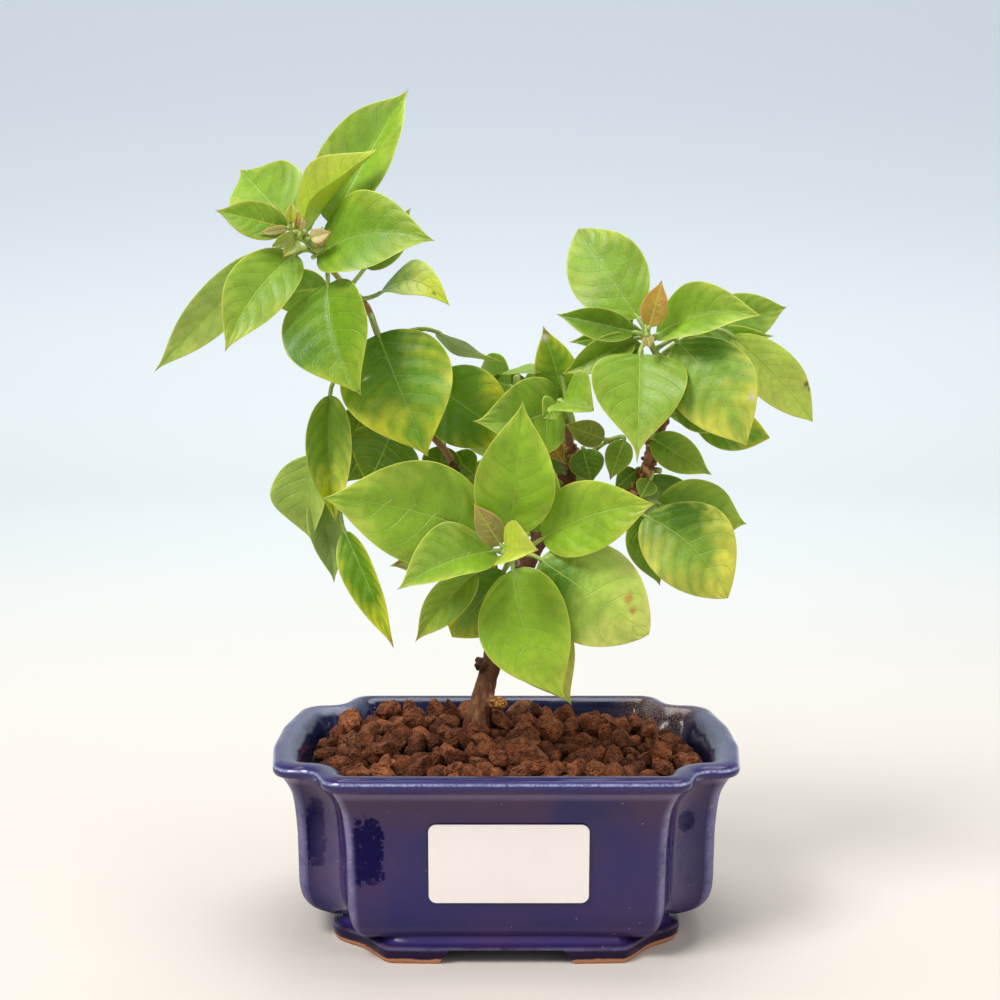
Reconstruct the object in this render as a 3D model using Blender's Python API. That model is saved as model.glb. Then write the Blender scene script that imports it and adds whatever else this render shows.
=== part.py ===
"""Potted indoor bougainvillea bonsai: glazed pot, screens, grit soil, wood and leafy stems.

Lengths in the tables are millimetres; objects are written in metres, +Z up.
The pot stands on z = 0 with its long side along X and its labelled face toward -Y.
"""
import math
import random

import bmesh
import bpy
import numpy as np
from mathutils import Vector
from mathutils.geometry import delaunay_2d_cdt

# Driving dimensions of the pot
RIM_HALF_LENGTH = 61.4
RIM_HALF_DEPTH = 42.5
RIM_HEIGHT = 49.6
PANEL_HALF_LENGTH = 44.5
FOOT_HEIGHT = 4.4
FLOOR_TOP = 10.0
POT_CENTRE = (0.2, 2.2)
LOBE_START = 36.0
FOOT_CORE_HALF = (29.0, 21.0)
FEET_GAP_HALF_LOW = 18.0
FEET_GAP_HALF_TOP = 14.4
SIDE_GAP_HALF = 12.0
DRAIN_HOLE_RADIUS = 5.5
DRAIN_HOLE_X = 24.0
SCREEN_SIZE = 18.0
SCREEN_THICKNESS = 0.8
SCREEN_HOLE_PITCH = 5.4
SCREEN_HOLE_HALF = 1.9
SEAM = 0.3

# Driving dimensions of the soil and the plant
LABEL_SIZE = (40.0, 20.6, 0.3)
LABEL_CORNER = 2.0
GRAIN_PITCH = 6.5
TRUNK_HOLE_RADIUS = 4.7
TRUNK_FOOT_RADIUS = 4.2
TRUNK_FOOT = (-7.8, 12.2)
TRUNK_BOTTOM = 28.0
BLADE_THICKNESS = 0.65
PETIOLE_RADIUS = 0.5

# Bottom centre of the whole plant's bounding box, which becomes the origin
BASE_CENTRE = (-6.5, 8.0)

# The eye level in front of the pot, from which the plant is laid out
EYE = np.array([-1.4, -399.0, 163.0])
EYE_TILT = math.radians(7.08)
EYE_REACH = 1520.0
AHEAD = np.array([0.0, math.cos(EYE_TILT), -math.sin(EYE_TILT)])
ABOVE = np.array([0.0, math.sin(EYE_TILT), math.cos(EYE_TILT)])
RIGHT = np.array([1.0, 0.0, 0.0])


def at(u, v, y):
    """Point at depth y on the sight line that runs u to the right and v up per EYE_REACH ahead."""
    ray = AHEAD * EYE_REACH + RIGHT * u + ABOVE * v
    return EYE + ray * ((y - EYE[1]) / ray[1])


for old in list(bpy.data.objects):
    bpy.data.objects.remove(old, do_unlink=True)


def material(name, colour, roughness, metallic=0.0):
    made = bpy.data.materials.new(name)
    made.use_nodes = True
    shader = made.node_tree.nodes["Principled BSDF"]
    shader.inputs["Base Color"].default_value = (*colour, 1.0)
    shader.inputs["Roughness"].default_value = roughness
    shader.inputs["Metallic"].default_value = metallic
    return made


GLAZE = material("cobalt_glaze", (0.03, 0.03, 0.18), 0.15)
GRIT = material("lava_grit", (0.16, 0.06, 0.03), 0.9)
BARK = material("bark", (0.23, 0.13, 0.08), 0.8)
GREEN = material("green_leaf", (0.28, 0.45, 0.04), 0.45)
YOUNG = material("young_leaf", (0.42, 0.22, 0.06), 0.5)
PAPER = material("white_label", (0.93, 0.9, 0.88), 0.6)
MESH_PLASTIC = material("screen_plastic", (0.05, 0.05, 0.05), 0.6)


def mesh_object(name, points, faces, look=None, collection=None):
    """Object whose mesh has the given points in millimetres."""
    shift = np.array([BASE_CENTRE[0], BASE_CENTRE[1], 0.0])
    data = bpy.data.meshes.new(name)
    scaled = (np.asarray(points, float) - shift) * 0.001
    data.from_pydata(scaled.tolist(), [], [list(map(int, face)) for face in faces])
    data.validate()
    made = bpy.data.objects.new(name, data)
    (collection or bpy.context.scene.collection).objects.link(made)
    if look:
        data.materials.append(look)
    return made


def boolean(target, tool, operation, solver="EXACT"):
    """Applies a Boolean of one object or a collection of objects to target, then drops the tools."""
    cut = target.modifiers.new("join", "BOOLEAN")
    cut.operation = operation
    cut.solver = solver
    if isinstance(tool, bpy.types.Collection):
        cut.operand_type = "COLLECTION"
        cut.collection = tool
    else:
        cut.object = tool
    bpy.context.view_layer.update()
    graph = bpy.context.evaluated_depsgraph_get()
    result = bpy.data.meshes.new_from_object(target.evaluated_get(graph))
    target.modifiers.remove(cut)
    old = target.data
    looks = list(old.materials)
    target.data = result
    result.materials.clear()
    for look in looks:
        result.materials.append(look)
    bpy.data.meshes.remove(old)
    if isinstance(tool, bpy.types.Collection):
        for item in list(tool.objects):
            bpy.data.objects.remove(item, do_unlink=True)
        bpy.data.collections.remove(tool)
    else:
        bpy.data.objects.remove(tool, do_unlink=True)


def clean(target, distance=1e-6):
    """Merges doubled points and makes every face a triangle."""
    work = bmesh.new()
    work.from_mesh(target.data)
    bmesh.ops.remove_doubles(work, verts=work.verts, dist=distance)
    bmesh.ops.dissolve_degenerate(work, edges=work.edges, dist=distance)
    bmesh.ops.dissolve_limit(work, angle_limit=0.002, verts=work.verts, edges=work.edges)
    bmesh.ops.triangulate(work, faces=work.faces)
    bmesh.ops.recalc_face_normals(work, faces=work.faces)
    work.to_mesh(target.data)
    work.free()
    for face in target.data.polygons:
        face.material_index = 0


# The pot's plan is a long rectangle whose four corners step in, with bowed ends; the step is
# deep and crisp on the body and shallow and soft at the lip
BODY_CORNERS = (
    (PANEL_HALF_LENGTH, -RIM_HALF_DEPTH, 3.5, 3),
    (47.5, -27.5, 5.5, 3),
    (58.8, -30.0, 2.6, 3),
    (RIM_HALF_LENGTH + 0.2, -9.0, 30.0, 1),
)
LIP_CORNERS = (
    (PANEL_HALF_LENGTH, -RIM_HALF_DEPTH, 5.2, 3),
    (48.4, -31.0, 5.2, 3),
    (58.6, -32.0, 6.4, 3),
    (RIM_HALF_LENGTH + 0.4, -9.0, 30.0, 1),
)
INNER_CORNER_LIMIT = 8.5


def plan_polygon(lip):
    """Corner points with rounding radii, once round the pot, from the front right panel end."""
    quarter = []
    for body, soft in zip(BODY_CORNERS, LIP_CORNERS):
        x, y, r = [low + (high - low) * lip for low, high in zip(body[:3], soft[:3])]
        quarter.append((x, y, r, body[3]))
    right_back = [(x, -y, r, n) for x, y, r, n in reversed(quarter)]
    left_back = [(-x, -y, r, n) for x, y, r, n in quarter]
    left_front = [(-x, y, r, n) for x, y, r, n in reversed(quarter)]
    return quarter + right_back + left_back + left_front


def outline(inset, lip=0.0):
    """Plan of the pot moved inward by inset, as a ring of points round its centre.

    Each side is moved in parallel, and each corner where two moved sides meet is rounded
    with its own radius, smaller on an outward corner and larger on an inward one.
    """
    corners = plan_polygon(lip)
    count = len(corners)
    lines = []
    for i in range(count):
        ax, ay = corners[i][:2]
        bx, by = corners[(i + 1) % count][:2]
        along = np.array([bx - ax, by - ay])
        along = along / np.linalg.norm(along)
        inward = np.array([-along[1], along[0]])
        lines.append((np.array([ax, ay]) + inward * inset, along))
    ring = []
    for i in range(count):
        start, before = lines[i - 1]
        point, after = lines[i]
        cross = before[0] * after[1] - before[1] * after[0]
        gap = point - start
        reach = (gap[0] * after[1] - gap[1] * after[0]) / cross
        corner = start + before * reach
        radius = corners[i][2]
        if cross > 0:
            radius = max(radius - inset * 0.6, 1.8)
        else:
            radius = min(radius + inset * 0.6, INNER_CORNER_LIMIT)
        steps = corners[i][3]
        half = math.acos(max(-1.0, min(1.0, float(before @ after)))) / 2
        back = radius * math.tan(half)
        centre = corner - before * back + np.array([-before[1], before[0]]) * radius * np.sign(cross)
        first = corner - before * back - centre
        for k in range(steps + 1):
            angle = np.sign(cross) * 2 * half * k / steps
            c, s = math.cos(angle), math.sin(angle)
            ring.append(centre + np.array([c * first[0] - s * first[1], s * first[0] + c * first[1]]))
    return np.array(ring) + np.array(POT_CENTRE)


def shrink(ring, distance):
    """Moves each point of a plan ring inward, square to the ring, by a small distance."""
    centre = np.array(POT_CENTRE)
    ahead = np.roll(ring, -1, axis=0) - ring
    behind = ring - np.roll(ring, 1, axis=0)
    ahead = ahead / np.linalg.norm(ahead, axis=1)[:, None]
    behind = behind / np.linalg.norm(behind, axis=1)[:, None]
    mean = ahead + behind
    mean = mean / np.linalg.norm(mean, axis=1)[:, None]
    inward = np.stack([-mean[:, 1], mean[:, 0]], axis=1)
    stretch = 1.0 / np.maximum(0.5, np.sum(mean * ahead, axis=1))
    return ring + inward * distance * stretch[:, None]


def loft(name, rings, look=None):
    """Closed solid through rings of (plan points, height); the first and last ring are capped."""
    points = []
    faces = []
    count = len(rings[0][0])
    for plan, z in rings:
        points.extend([(p[0], p[1], z) for p in plan])
    for level in range(len(rings) - 1):
        a = level * count
        b = a + count
        for i in range(count):
            j = (i + 1) % count
            faces.append((a + i, a + j, b + j, b + i))
    faces.append(tuple(reversed(range(count))))
    last = (len(rings) - 1) * count
    faces.append(tuple(range(last, last + count)))
    return mesh_object(name, points, faces, look)


def block(name, low, high):
    """Plain box between two corners."""
    x0, y0, z0 = low
    x1, y1, z1 = high
    points = [(x, y, z) for z in (z0, z1) for y in (y0, y1) for x in (x0, x1)]
    faces = [(0, 2, 3, 1), (4, 5, 7, 6), (0, 1, 5, 4), (2, 6, 7, 3), (0, 4, 6, 2), (1, 3, 7, 5)]
    return mesh_object(name, points, faces)


def cylinder(name, centre, radius, low, high, sides=20):
    """Upright round cutter or pin."""
    turn = [2 * math.pi * k / sides for k in range(sides)]
    plan = [(centre[0] + radius * math.cos(a), centre[1] + radius * math.sin(a)) for a in turn]
    return loft(name, [(plan, low), (plan, high)])


# Pot: outer wall up from the underside, over the flared lip and down to the floor inside,
# each row an inset from the lip, a height, the share of the end lobes' reach and how far
# the plan has the lip's softer corners
OUTER_WALL = (
    (9.6, 5.2, 0.55, 0.0), (7.6, 6.4, 0.74, 0.0), (6.6, 8.8, 0.92, 0.0), (6.2, 13.5, 1.0, 0.0),
    (5.8, 30.0, 1.0, 0.0), (4.9, 38.5, 1.0, 0.05), (3.4, 43.2, 1.0, 0.3), (1.5, 45.4, 1.0, 0.7),
    (0.1, 46.6, 1.0, 1.0), (0.3, 48.4, 1.0, 1.0), (1.8, 49.4, 1.0, 1.0),
)
INNER_WALL = (
    (3.6, RIM_HEIGHT, 1.0, 1.0), (6.0, 48.3, 1.0, 1.0), (8.2, 44.8, 1.0, 0.8), (9.8, 36.0, 1.0, 0.3),
    (10.8, 14.0, 0.94, 0.0), (13.4, FLOOR_TOP, 0.9, 0.0),
)


def wall_ring(inset, reach, lip):
    """Plan ring whose end lobes keep only a share of their reach past the middle panel."""
    ring = outline(inset, lip)
    past = np.maximum(0.0, np.abs(ring[:, 0] - POT_CENTRE[0]) - LOBE_START)
    ring[:, 0] -= np.sign(ring[:, 0] - POT_CENTRE[0]) * past * (1 - reach)
    return ring


wall_rings = [(wall_ring(inset, reach, lip), z) for inset, z, reach, lip in OUTER_WALL + INNER_WALL]
pot = loft("pot", wall_rings, GLAZE)

# A base slab with eased corners, cut away below into four feet with a gap in each side
BASE_CORNERS = ((28.6, 36.4), (31.0, 35.0), (34.0, 30.6), (37.6, 26.2), (41.4, 23.8), (44.2, 21.2),
                (45.5, 17.5))
BASE_ROWS = ((0.0, 0.992), (0.8, 1.0), (4.0, 1.012), (5.2, 1.008), (6.2, 0.972))
cx, cy = POT_CENTRE
base_plan = [(mx * x, my * y) for mx, my, order in ((1, -1, 1), (1, 1, -1), (-1, 1, 1), (-1, -1, -1))
             for x, y in BASE_CORNERS[::order]]
base_rings = [([(cx + x * share, cy + y * share) for x, y in base_plan], z) for z, share in BASE_ROWS]
base = loft("base", base_rings)
core_x, core_y = FOOT_CORE_HALF
foot_core = block("foot_core", (cx - core_x, cy - core_y, -1.0), (cx + core_x, cy + core_y, FOOT_HEIGHT))
boolean(base, foot_core, "DIFFERENCE")
gap_ends = ((-1.0, FEET_GAP_HALF_LOW), (FOOT_HEIGHT, FEET_GAP_HALF_TOP))
gap_points = [(cx + sx * gx, y, z) for z, gx in gap_ends for y in (-60.0, 60.0) for sx in (-1, 1)]
gap_faces = [(0, 2, 3, 1), (4, 5, 7, 6), (0, 1, 5, 4), (2, 6, 7, 3), (0, 4, 6, 2), (1, 3, 7, 5)]
boolean(base, mesh_object("front_gap", gap_points, gap_faces), "DIFFERENCE")
side_gap = block("side_gap", (-80, cy - SIDE_GAP_HALF, -1.0), (80, cy + SIDE_GAP_HALF, FOOT_HEIGHT))
boolean(base, side_gap, "DIFFERENCE")
boolean(pot, base, "UNION")
clean(pot)
for side in (-1, 1):
    hole = cylinder("drain_cutter", (cx + side * DRAIN_HOLE_X, cy), DRAIN_HOLE_RADIUS, 0.0, 15.0)
    boolean(pot, hole, "DIFFERENCE")
clean(pot)

# A square of plastic mesh lies over each drain hole, under the soil
SCREEN_Z = FLOOR_TOP + SEAM
SCREEN_TOP = SCREEN_Z + SCREEN_THICKNESS
for side, name in ((-1, "drain_screen_left"), (1, "drain_screen_right")):
    mx = cx + side * DRAIN_HOLE_X
    half = SCREEN_SIZE / 2
    screen = block(name, (mx - half, cy - half, SCREEN_Z), (mx + half, cy + half, SCREEN_TOP))
    screen.data.materials.append(MESH_PLASTIC)
    holes = bpy.data.collections.new("screen_holes")
    for i in range(3):
        for j in range(3):
            low_x = mx + (i - 1) * SCREEN_HOLE_PITCH - SCREEN_HOLE_HALF
            low_y = cy + (j - 1) * SCREEN_HOLE_PITCH - SCREEN_HOLE_HALF
            high = (low_x + 2 * SCREEN_HOLE_HALF, low_y + 2 * SCREEN_HOLE_HALF, SCREEN_TOP + 1)
            slot = block("mesh_hole", (low_x, low_y, SCREEN_Z - 1), high)
            bpy.context.scene.collection.objects.unlink(slot)
            holes.objects.link(slot)
    bpy.context.scene.collection.children.link(holes)
    boolean(screen, holes, "DIFFERENCE")
    clean(screen)


# Soil: coarse grit heaped a little toward the trunk
def ground(x, y):
    """Mean height of the grit: level near the walls and heaped round the trunk."""
    heap = 6.0 * math.exp(-((x + 10.0) / 40.0) ** 2 - ((y - 16.0) / 26.0) ** 2)
    return 43.2 + heap


def inside(point, ring, margin):
    """Whether a plan point lies within the ring by at least the margin."""
    x, y = point
    crossings = False
    nearest = 1e9
    count = len(ring)
    for i in range(count):
        ax, ay = ring[i]
        bx, by = ring[(i + 1) % count]
        if (ay > y) != (by > y) and x < (bx - ax) * (y - ay) / (by - ay) + ax:
            crossings = not crossings
        dx, dy = bx - ax, by - ay
        s = max(0.0, min(1.0, ((x - ax) * dx + (y - ay) * dy) / (dx * dx + dy * dy + 1e-12)))
        nearest = min(nearest, math.hypot(x - ax - s * dx, y - ay - s * dy))
    return crossings and nearest >= margin


def grains():
    """Centres, heights and sizes of the grit's stones on a loosened honeycomb grid."""
    draw = random.Random(11)
    ring = outline(9.6, 0.5)
    found = []
    row = 0
    y = -48.0
    while y < 52.0:
        x = -64.0 + (GRAIN_PITCH / 2 if row % 2 else 0.0)
        while x < 64.0:
            gx = x + draw.uniform(-1.1, 1.1)
            gy = y + draw.uniform(-1.1, 1.1)
            lift = draw.uniform(0.4, 2.4)
            size = draw.uniform(0.8, 1.2)
            if inside((gx, gy), ring, 1.6):
                found.append((gx, gy, ground(gx, gy) + lift, size))
            x += GRAIN_PITCH
        row += 1
        y += GRAIN_PITCH * math.sqrt(3) / 2
    return found


soil_edge = shrink(outline(8.9, 0.6), 0.45)
grain_list = [g for g in grains() if math.hypot(g[0] - TRUNK_FOOT[0], g[1] - TRUNK_FOOT[1]) > 7.5]
flat = [Vector((p[0], p[1])) for p in soil_edge]
edge_count = len(flat)
heights = [ground(p[0], p[1]) - 0.4 for p in soil_edge]
for gx, gy, gz, size in grain_list:
    flat.append(Vector((gx, gy)))
    heights.append(gz)
hollow_draw = random.Random(5)
for gx, gy, gz, size in grain_list:
    for turn in (30.0, 90.0):
        a = math.radians(turn)
        hx = gx + GRAIN_PITCH * 0.577 * math.cos(a) + hollow_draw.uniform(-0.5, 0.5)
        hy = gy + GRAIN_PITCH * 0.577 * math.sin(a) + hollow_draw.uniform(-0.5, 0.5)
        clear = math.hypot(hx - TRUNK_FOOT[0], hy - TRUNK_FOOT[1]) > 7.0
        if clear and inside((hx, hy), soil_edge, 1.2):
            flat.append(Vector((hx, hy)))
            heights.append(ground(hx, hy) - hollow_draw.uniform(0.6, 1.6))
rim_edges = [(i, (i + 1) % edge_count) for i in range(edge_count)]
plan_points, _, plan_faces, origin_points, _, _ = delaunay_2d_cdt(
    flat, rim_edges, [list(range(edge_count))], 1, 1e-4)
soil_points = []
for point, source in zip(plan_points, origin_points):
    soil_points.append((point.x, point.y, heights[source[0]]))
soil_faces = [tuple(face) for face in plan_faces]
top_ring = [None] * edge_count
for index, source in enumerate(origin_points):
    if source[0] < edge_count:
        top_ring[source[0]] = index
above_ring = top_ring
for inset, z, reach, lip in INNER_WALL[3:]:
    start = len(soil_points)
    height = max(z, FLOOR_TOP + SEAM)
    soil_points.extend([(p[0], p[1], height) for p in shrink(wall_ring(inset, reach, lip), 0.45)])
    below_ring = list(range(start, start + edge_count))
    for i in range(edge_count):
        j = (i + 1) % edge_count
        soil_faces.append((below_ring[i], below_ring[j], above_ring[j], above_ring[i]))
    above_ring = below_ring
soil_faces.append(tuple(reversed(above_ring)))
soil = mesh_object("soil", soil_points, soil_faces, GRIT)
clean(soil)
for side in (-1, 1):
    mx = cx + side * DRAIN_HOLE_X
    half = SCREEN_SIZE / 2 + SEAM
    high = (mx + half, cy + half, SCREEN_TOP + SEAM)
    pocket = block("screen_pocket", (mx - half, cy - half, FLOOR_TOP - 2), high)
    boolean(soil, pocket, "DIFFERENCE")
trunk_hole = cylinder("trunk_hole", TRUNK_FOOT, TRUNK_HOLE_RADIUS, TRUNK_BOTTOM - SEAM, 70.0, 12)
boolean(soil, trunk_hole, "DIFFERENCE")
clean(soil)


# Tubes for wood, leafy stems and leaf stalks
def tube_mesh(path, radii, sides):
    """Points and faces of a closed tube along path whose rings lie square to it."""
    path = np.asarray(path, float)
    count = len(path)
    tangents = np.gradient(path, axis=0)
    tangents = tangents / np.linalg.norm(tangents, axis=1)[:, None]
    side = np.cross(tangents[0], [0.31, 0.87, 0.11])
    side = side / np.linalg.norm(side)
    points = []
    for i in range(count):
        side = side - tangents[i] * (side @ tangents[i])
        side = side / np.linalg.norm(side)
        other = np.cross(tangents[i], side)
        for k in range(sides):
            a = 2 * math.pi * k / sides
            points.append(path[i] + radii[i] * (math.cos(a) * side + math.sin(a) * other))
    faces = []
    for i in range(count - 1):
        for k in range(sides):
            m = (k + 1) % sides
            faces.append((i * sides + k, i * sides + m, (i + 1) * sides + m, (i + 1) * sides + k))
    faces.append(tuple(reversed(range(sides))))
    last = (count - 1) * sides
    faces.append(tuple(range(last, last + sides)))
    return points, faces


def smooth_path(route, per_span):
    """Catmull-Rom curve through rows of (x, y, z, radius)."""
    rows = np.asarray(route, float)
    padded = np.vstack([2 * rows[0] - rows[1], rows, 2 * rows[-1] - rows[-2]])
    out = []
    for i in range(1, len(padded) - 2):
        a, b, c, d = padded[i - 1], padded[i], padded[i + 1], padded[i + 2]
        for k in range(per_span):
            t = k / per_span
            out.append(0.5 * (2 * b + (c - a) * t + (2 * a - 5 * b + 4 * c - d) * t ** 2
                              + (3 * b - a - 3 * c + d) * t ** 3))
    out.append(rows[-1])
    return np.array(out)


def route(rows):
    """Turns rows of (u, v, y, radius) into rows of (x, y, z, radius)."""
    return [(*at(u, v, y), r) for u, v, y, r in rows]


# Wood: the trunk with its cut stub and four branches, each row (u, v, y, radius)
TRUNK_ROUTE = [
    (-23, -222, 12.0, 3.7), (-19, -204, 12.0, 3.3), (-13, -180, 12.0, 2.9), (-7, -155, 12.0, 2.8),
    (1, -112, 11.0, 2.7),
    (18, -80, 10.0, 2.7), (37, -45, 11.0, 2.3), (56, -12, 13.0, 1.9), (70, 19, 14.0, 1.6),
    (71, 36, 14.0, 1.5),
]
LEFT_BRANCH = [(0, -104, 10.5, 1.8), (-13, -45, 8.5, 1.5), (-30, 0, 7.5, 1.3), (-41, 23, 7.0, 1.15),
               (-48, 37, 7.0, 1.1)]
RIGHT_BRANCH = [(40, -40, 11.5, 1.8), (75, -20, 12.0, 1.6), (108, -9, 10.5, 1.6), (130, 1, 8.5, 1.6)]
FRONT_BRANCH = [(12, -88, 10.0, 1.7), (16, -74, 4.0, 1.4), (16, -64, -5.0, 1.2)]
BACK_BRANCH = [(37, -45, 11.0, 1.7), (32, 0, 18.0, 1.4), (26, 40, 24.0, 1.2)]
TRUNK_STUB = [(-9, -158, 12.0, 1.8), (-16, -163, 10.8, 1.9), (-23, -165, 10.0, 1.6)]
MIDDLE_STUB = [(70, 17, 14.0, 1.0), (66, 20, 12.5, 0.9), (59, 25, 11.0, 0.8)]
ROOT_KNOB = [(-14, -203, 10.5, 1.3), (-4, -200, 9.0, 2.2), (4, -203, 8.5, 1.5)]


def tube_object(name, rows, sides, per_span, collection=None, look=None):
    """Tube object along a table of (u, v, y, radius)."""
    line = smooth_path(route(rows), per_span)
    points, faces = tube_mesh(line[:, :3], line[:, 3], sides)
    return mesh_object(name, points, faces, look, collection)


foot_line = [(TRUNK_FOOT[0], TRUNK_FOOT[1], TRUNK_BOTTOM), (TRUNK_FOOT[0], TRUNK_FOOT[1], 40.0),
             (TRUNK_FOOT[0] + 0.1, TRUNK_FOOT[1], 48.0), (TRUNK_FOOT[0] + 0.3, TRUNK_FOOT[1], 53.0)]
foot_points, foot_faces = tube_mesh(foot_line, (3.0, 4.0, TRUNK_FOOT_RADIUS, 3.7), 12)
trunk = mesh_object("trunk_and_branches", foot_points, foot_faces, BARK)
wood = bpy.data.collections.new("wood")
bpy.context.scene.collection.children.link(wood)
tube_object("trunk_upper", TRUNK_ROUTE, 9, 2, wood)
for label, rows in (("left", LEFT_BRANCH), ("right", RIGHT_BRANCH), ("front", FRONT_BRANCH),
                    ("back", BACK_BRANCH)):
    tube_object(label + "_branch", rows, 7, 1, wood)
for label, rows in (("trunk_stub", TRUNK_STUB), ("middle_stub", MIDDLE_STUB), ("root_knob", ROOT_KNOB)):
    tube_object(label, rows, 7, 1, wood)
boolean(trunk, wood, "UNION", "MANIFOLD")
clean(trunk)


# Leaves: each is a blade with a midrib from base to tip
def half_width(t, blunt):
    """Share of the half width at t along the blade.

    At blunt 0 it is egg shaped with a drawn-out tip; at blunt 1 it is an even oval.
    """
    bulge = np.sin(np.pi * np.clip(t, 0, 1) ** (0.716 + 0.2 * blunt))
    return np.clip(bulge, 0, 1) ** (0.72 - 0.08 * blunt + 0.75 * (1 - blunt) * t ** 3)


def blade_frame(base, tip, turn):
    """Unit vectors along the leaf, across it and out of its face, turned about its length."""
    length = np.linalg.norm(tip - base)
    along = (tip - base) / length
    toward = EYE - (base + tip) / 2
    out = toward - along * (toward @ along)
    out = out / np.linalg.norm(out)
    across = np.cross(along, out)
    c, s = math.cos(math.radians(turn)), math.sin(math.radians(turn))
    return length, along, across * c - out * s, out * c + across * s


def blade_point(leaf, t, q):
    """Middle surface of the blade at t along it and q from -1 to 1 across it."""
    base, tip, width, turn, fold, arch, bend, blunt, phase = leaf
    length, along, across, out = blade_frame(base, tip, turn)
    bow = 4 * t * (1 - t)
    share = half_width(t, blunt)
    half = 0.5 * width * share
    side = half * q
    angle = math.radians(fold)
    wave = 0.035 * width * math.sin(2 * math.pi * 1.6 * t + phase + (1.7 if q > 0 else 0.0)) * q * q
    lift = abs(side) * math.sin(angle) + arch * length * bow + wave * share
    return base + along * length * t + across * (side * math.cos(angle) + bend * length * bow) + out * lift


COLUMNS = (-1.0, 0.0, 1.0)
LONG_ROWS = (0.07, 0.24, 0.46, 0.68, 0.87)
MIDDLE_ROWS = (0.09, 0.32, 0.6, 0.85)
SHORT_ROWS = (0.1, 0.36, 0.68)


def blade_mesh(leaf):
    """Closed thin solid of a blade, split into the same triangles on both faces."""
    rows = LONG_ROWS if leaf[2] > 17.2 else MIDDLE_ROWS if leaf[2] > 9.6 else SHORT_ROWS
    length, along, across, out = blade_frame(leaf[0], leaf[1], leaf[3])
    middle = []
    normal = []
    for t in rows:
        for q in COLUMNS:
            middle.append(blade_point(leaf, t, q))
            dt = blade_point(leaf, t + 0.02, q) - blade_point(leaf, t - 0.02, q)
            q0, q1 = max(q - 0.1, -1), min(q + 0.1, 1)
            dq = blade_point(leaf, t, q1) - blade_point(leaf, t, q0)
            face = np.cross(dt, dq)
            face = face / np.linalg.norm(face)
            normal.append(face if face @ out > 0 else -face)
    for t in (0.0, 1.0):
        middle.append(blade_point(leaf, t, 0.0))
        normal.append(out)
    middle = np.array(middle)
    normal = np.array(normal)
    count = len(middle)
    points = np.vstack([middle + normal * BLADE_THICKNESS / 2, middle - normal * BLADE_THICKNESS / 2])
    wide = len(COLUMNS)
    start, end = count - 2, count - 1
    top = []
    for i in range(len(rows) - 1):
        for k in range(wide - 1):
            a = i * wide + k
            b, c, d = a + 1, a + wide + 1, a + wide
            if k < 1:
                top.extend([(a, b, c), (a, c, d)])
            else:
                top.extend([(a, b, d), (b, c, d)])
    last = (len(rows) - 1) * wide
    for k in range(wide - 1):
        top.append((start, k + 1, k))
        top.append((end, last + k, last + k + 1))
    faces = list(top)
    faces.extend([(c + count, b + count, a + count) for a, b, c in top])
    rim = [start] + [i * wide + wide - 1 for i in range(len(rows))] + [end]
    rim += [i * wide for i in reversed(range(len(rows)))]
    for i in range(len(rim)):
        a, b = rim[i], rim[(i + 1) % len(rim)]
        faces.append((b, a, a + count))
        faces.append((b, a + count, b + count))
    return points, faces


def nearest_on(lines, point):
    """Closest point to the given one on several polylines, short of each one's last stretch."""
    best = None
    for line in lines:
        for i in range(max(1, len(line) - 2)):
            a, b = line[i][:3], line[i + 1][:3]
            s = float(np.clip((point - a) @ (b - a) / ((b - a) @ (b - a)), 0, 1))
            found = a + (b - a) * s
            gap = np.linalg.norm(point - found)
            if best is None or gap < best[0]:
                best = (gap, found)
    return best[1]


def stalk_line(leaf, lines):
    """Curved leaf stalk from the stem into the first part of the midrib."""
    base, tip = leaf[0], leaf[1]
    origin = nearest_on(lines, base - (tip - base) * 0.15)
    reach = np.linalg.norm(base - origin)
    heading = blade_point(leaf, 0.09, 0.0) - base
    heading = heading / np.linalg.norm(heading)
    control = base - heading * reach * 0.45
    line = []
    for t in (0.0, 0.5, 1.0):
        line.append(origin * (1 - t) ** 2 + control * 2 * t * (1 - t) + base * t ** 2)
    line.append(blade_point(leaf, 0.09, 0.0))
    return line


def leafy_stem(name, stem_routes, rows, look):
    """One body of stems and leaves; each leaf row gives its base u, v, y, its tip u, v, y,
    then width, turn, fold, arch, bend and bluntness."""
    lines = [smooth_path(route(stem), 2) for stem in stem_routes]
    points, faces = tube_mesh(lines[0][:, :3], lines[0][:, 3], 6)
    stem = mesh_object(name, points, faces, look)
    pieces = bpy.data.collections.new(name + "_pieces")
    bpy.context.scene.collection.children.link(pieces)
    for line in lines[1:]:
        points, faces = tube_mesh(line[:, :3], line[:, 3], 6)
        mesh_object(name + "_twig", points, faces, None, pieces)
    for index, row in enumerate(rows):
        bu, bv, by, tu, tv, ty, width, turn, fold, arch, bend, blunt = row
        leaf = (at(bu, bv, by), at(tu, tv, ty), width, turn, fold, arch, bend, blunt, 1.3 * index)
        points, faces = blade_mesh(leaf)
        mesh_object(name + "_blade", points, faces, None, pieces)
        radii = [PETIOLE_RADIUS * 1.25, PETIOLE_RADIUS * 1.1, PETIOLE_RADIUS * 1.1, PETIOLE_RADIUS]
        points, faces = tube_mesh(stalk_line(leaf, lines), radii, 3)
        mesh_object(name + "_stalk", points, faces, None, pieces)
    boolean(stem, pieces, "UNION", "MANIFOLD")
    clean(stem)
    return stem


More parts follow.
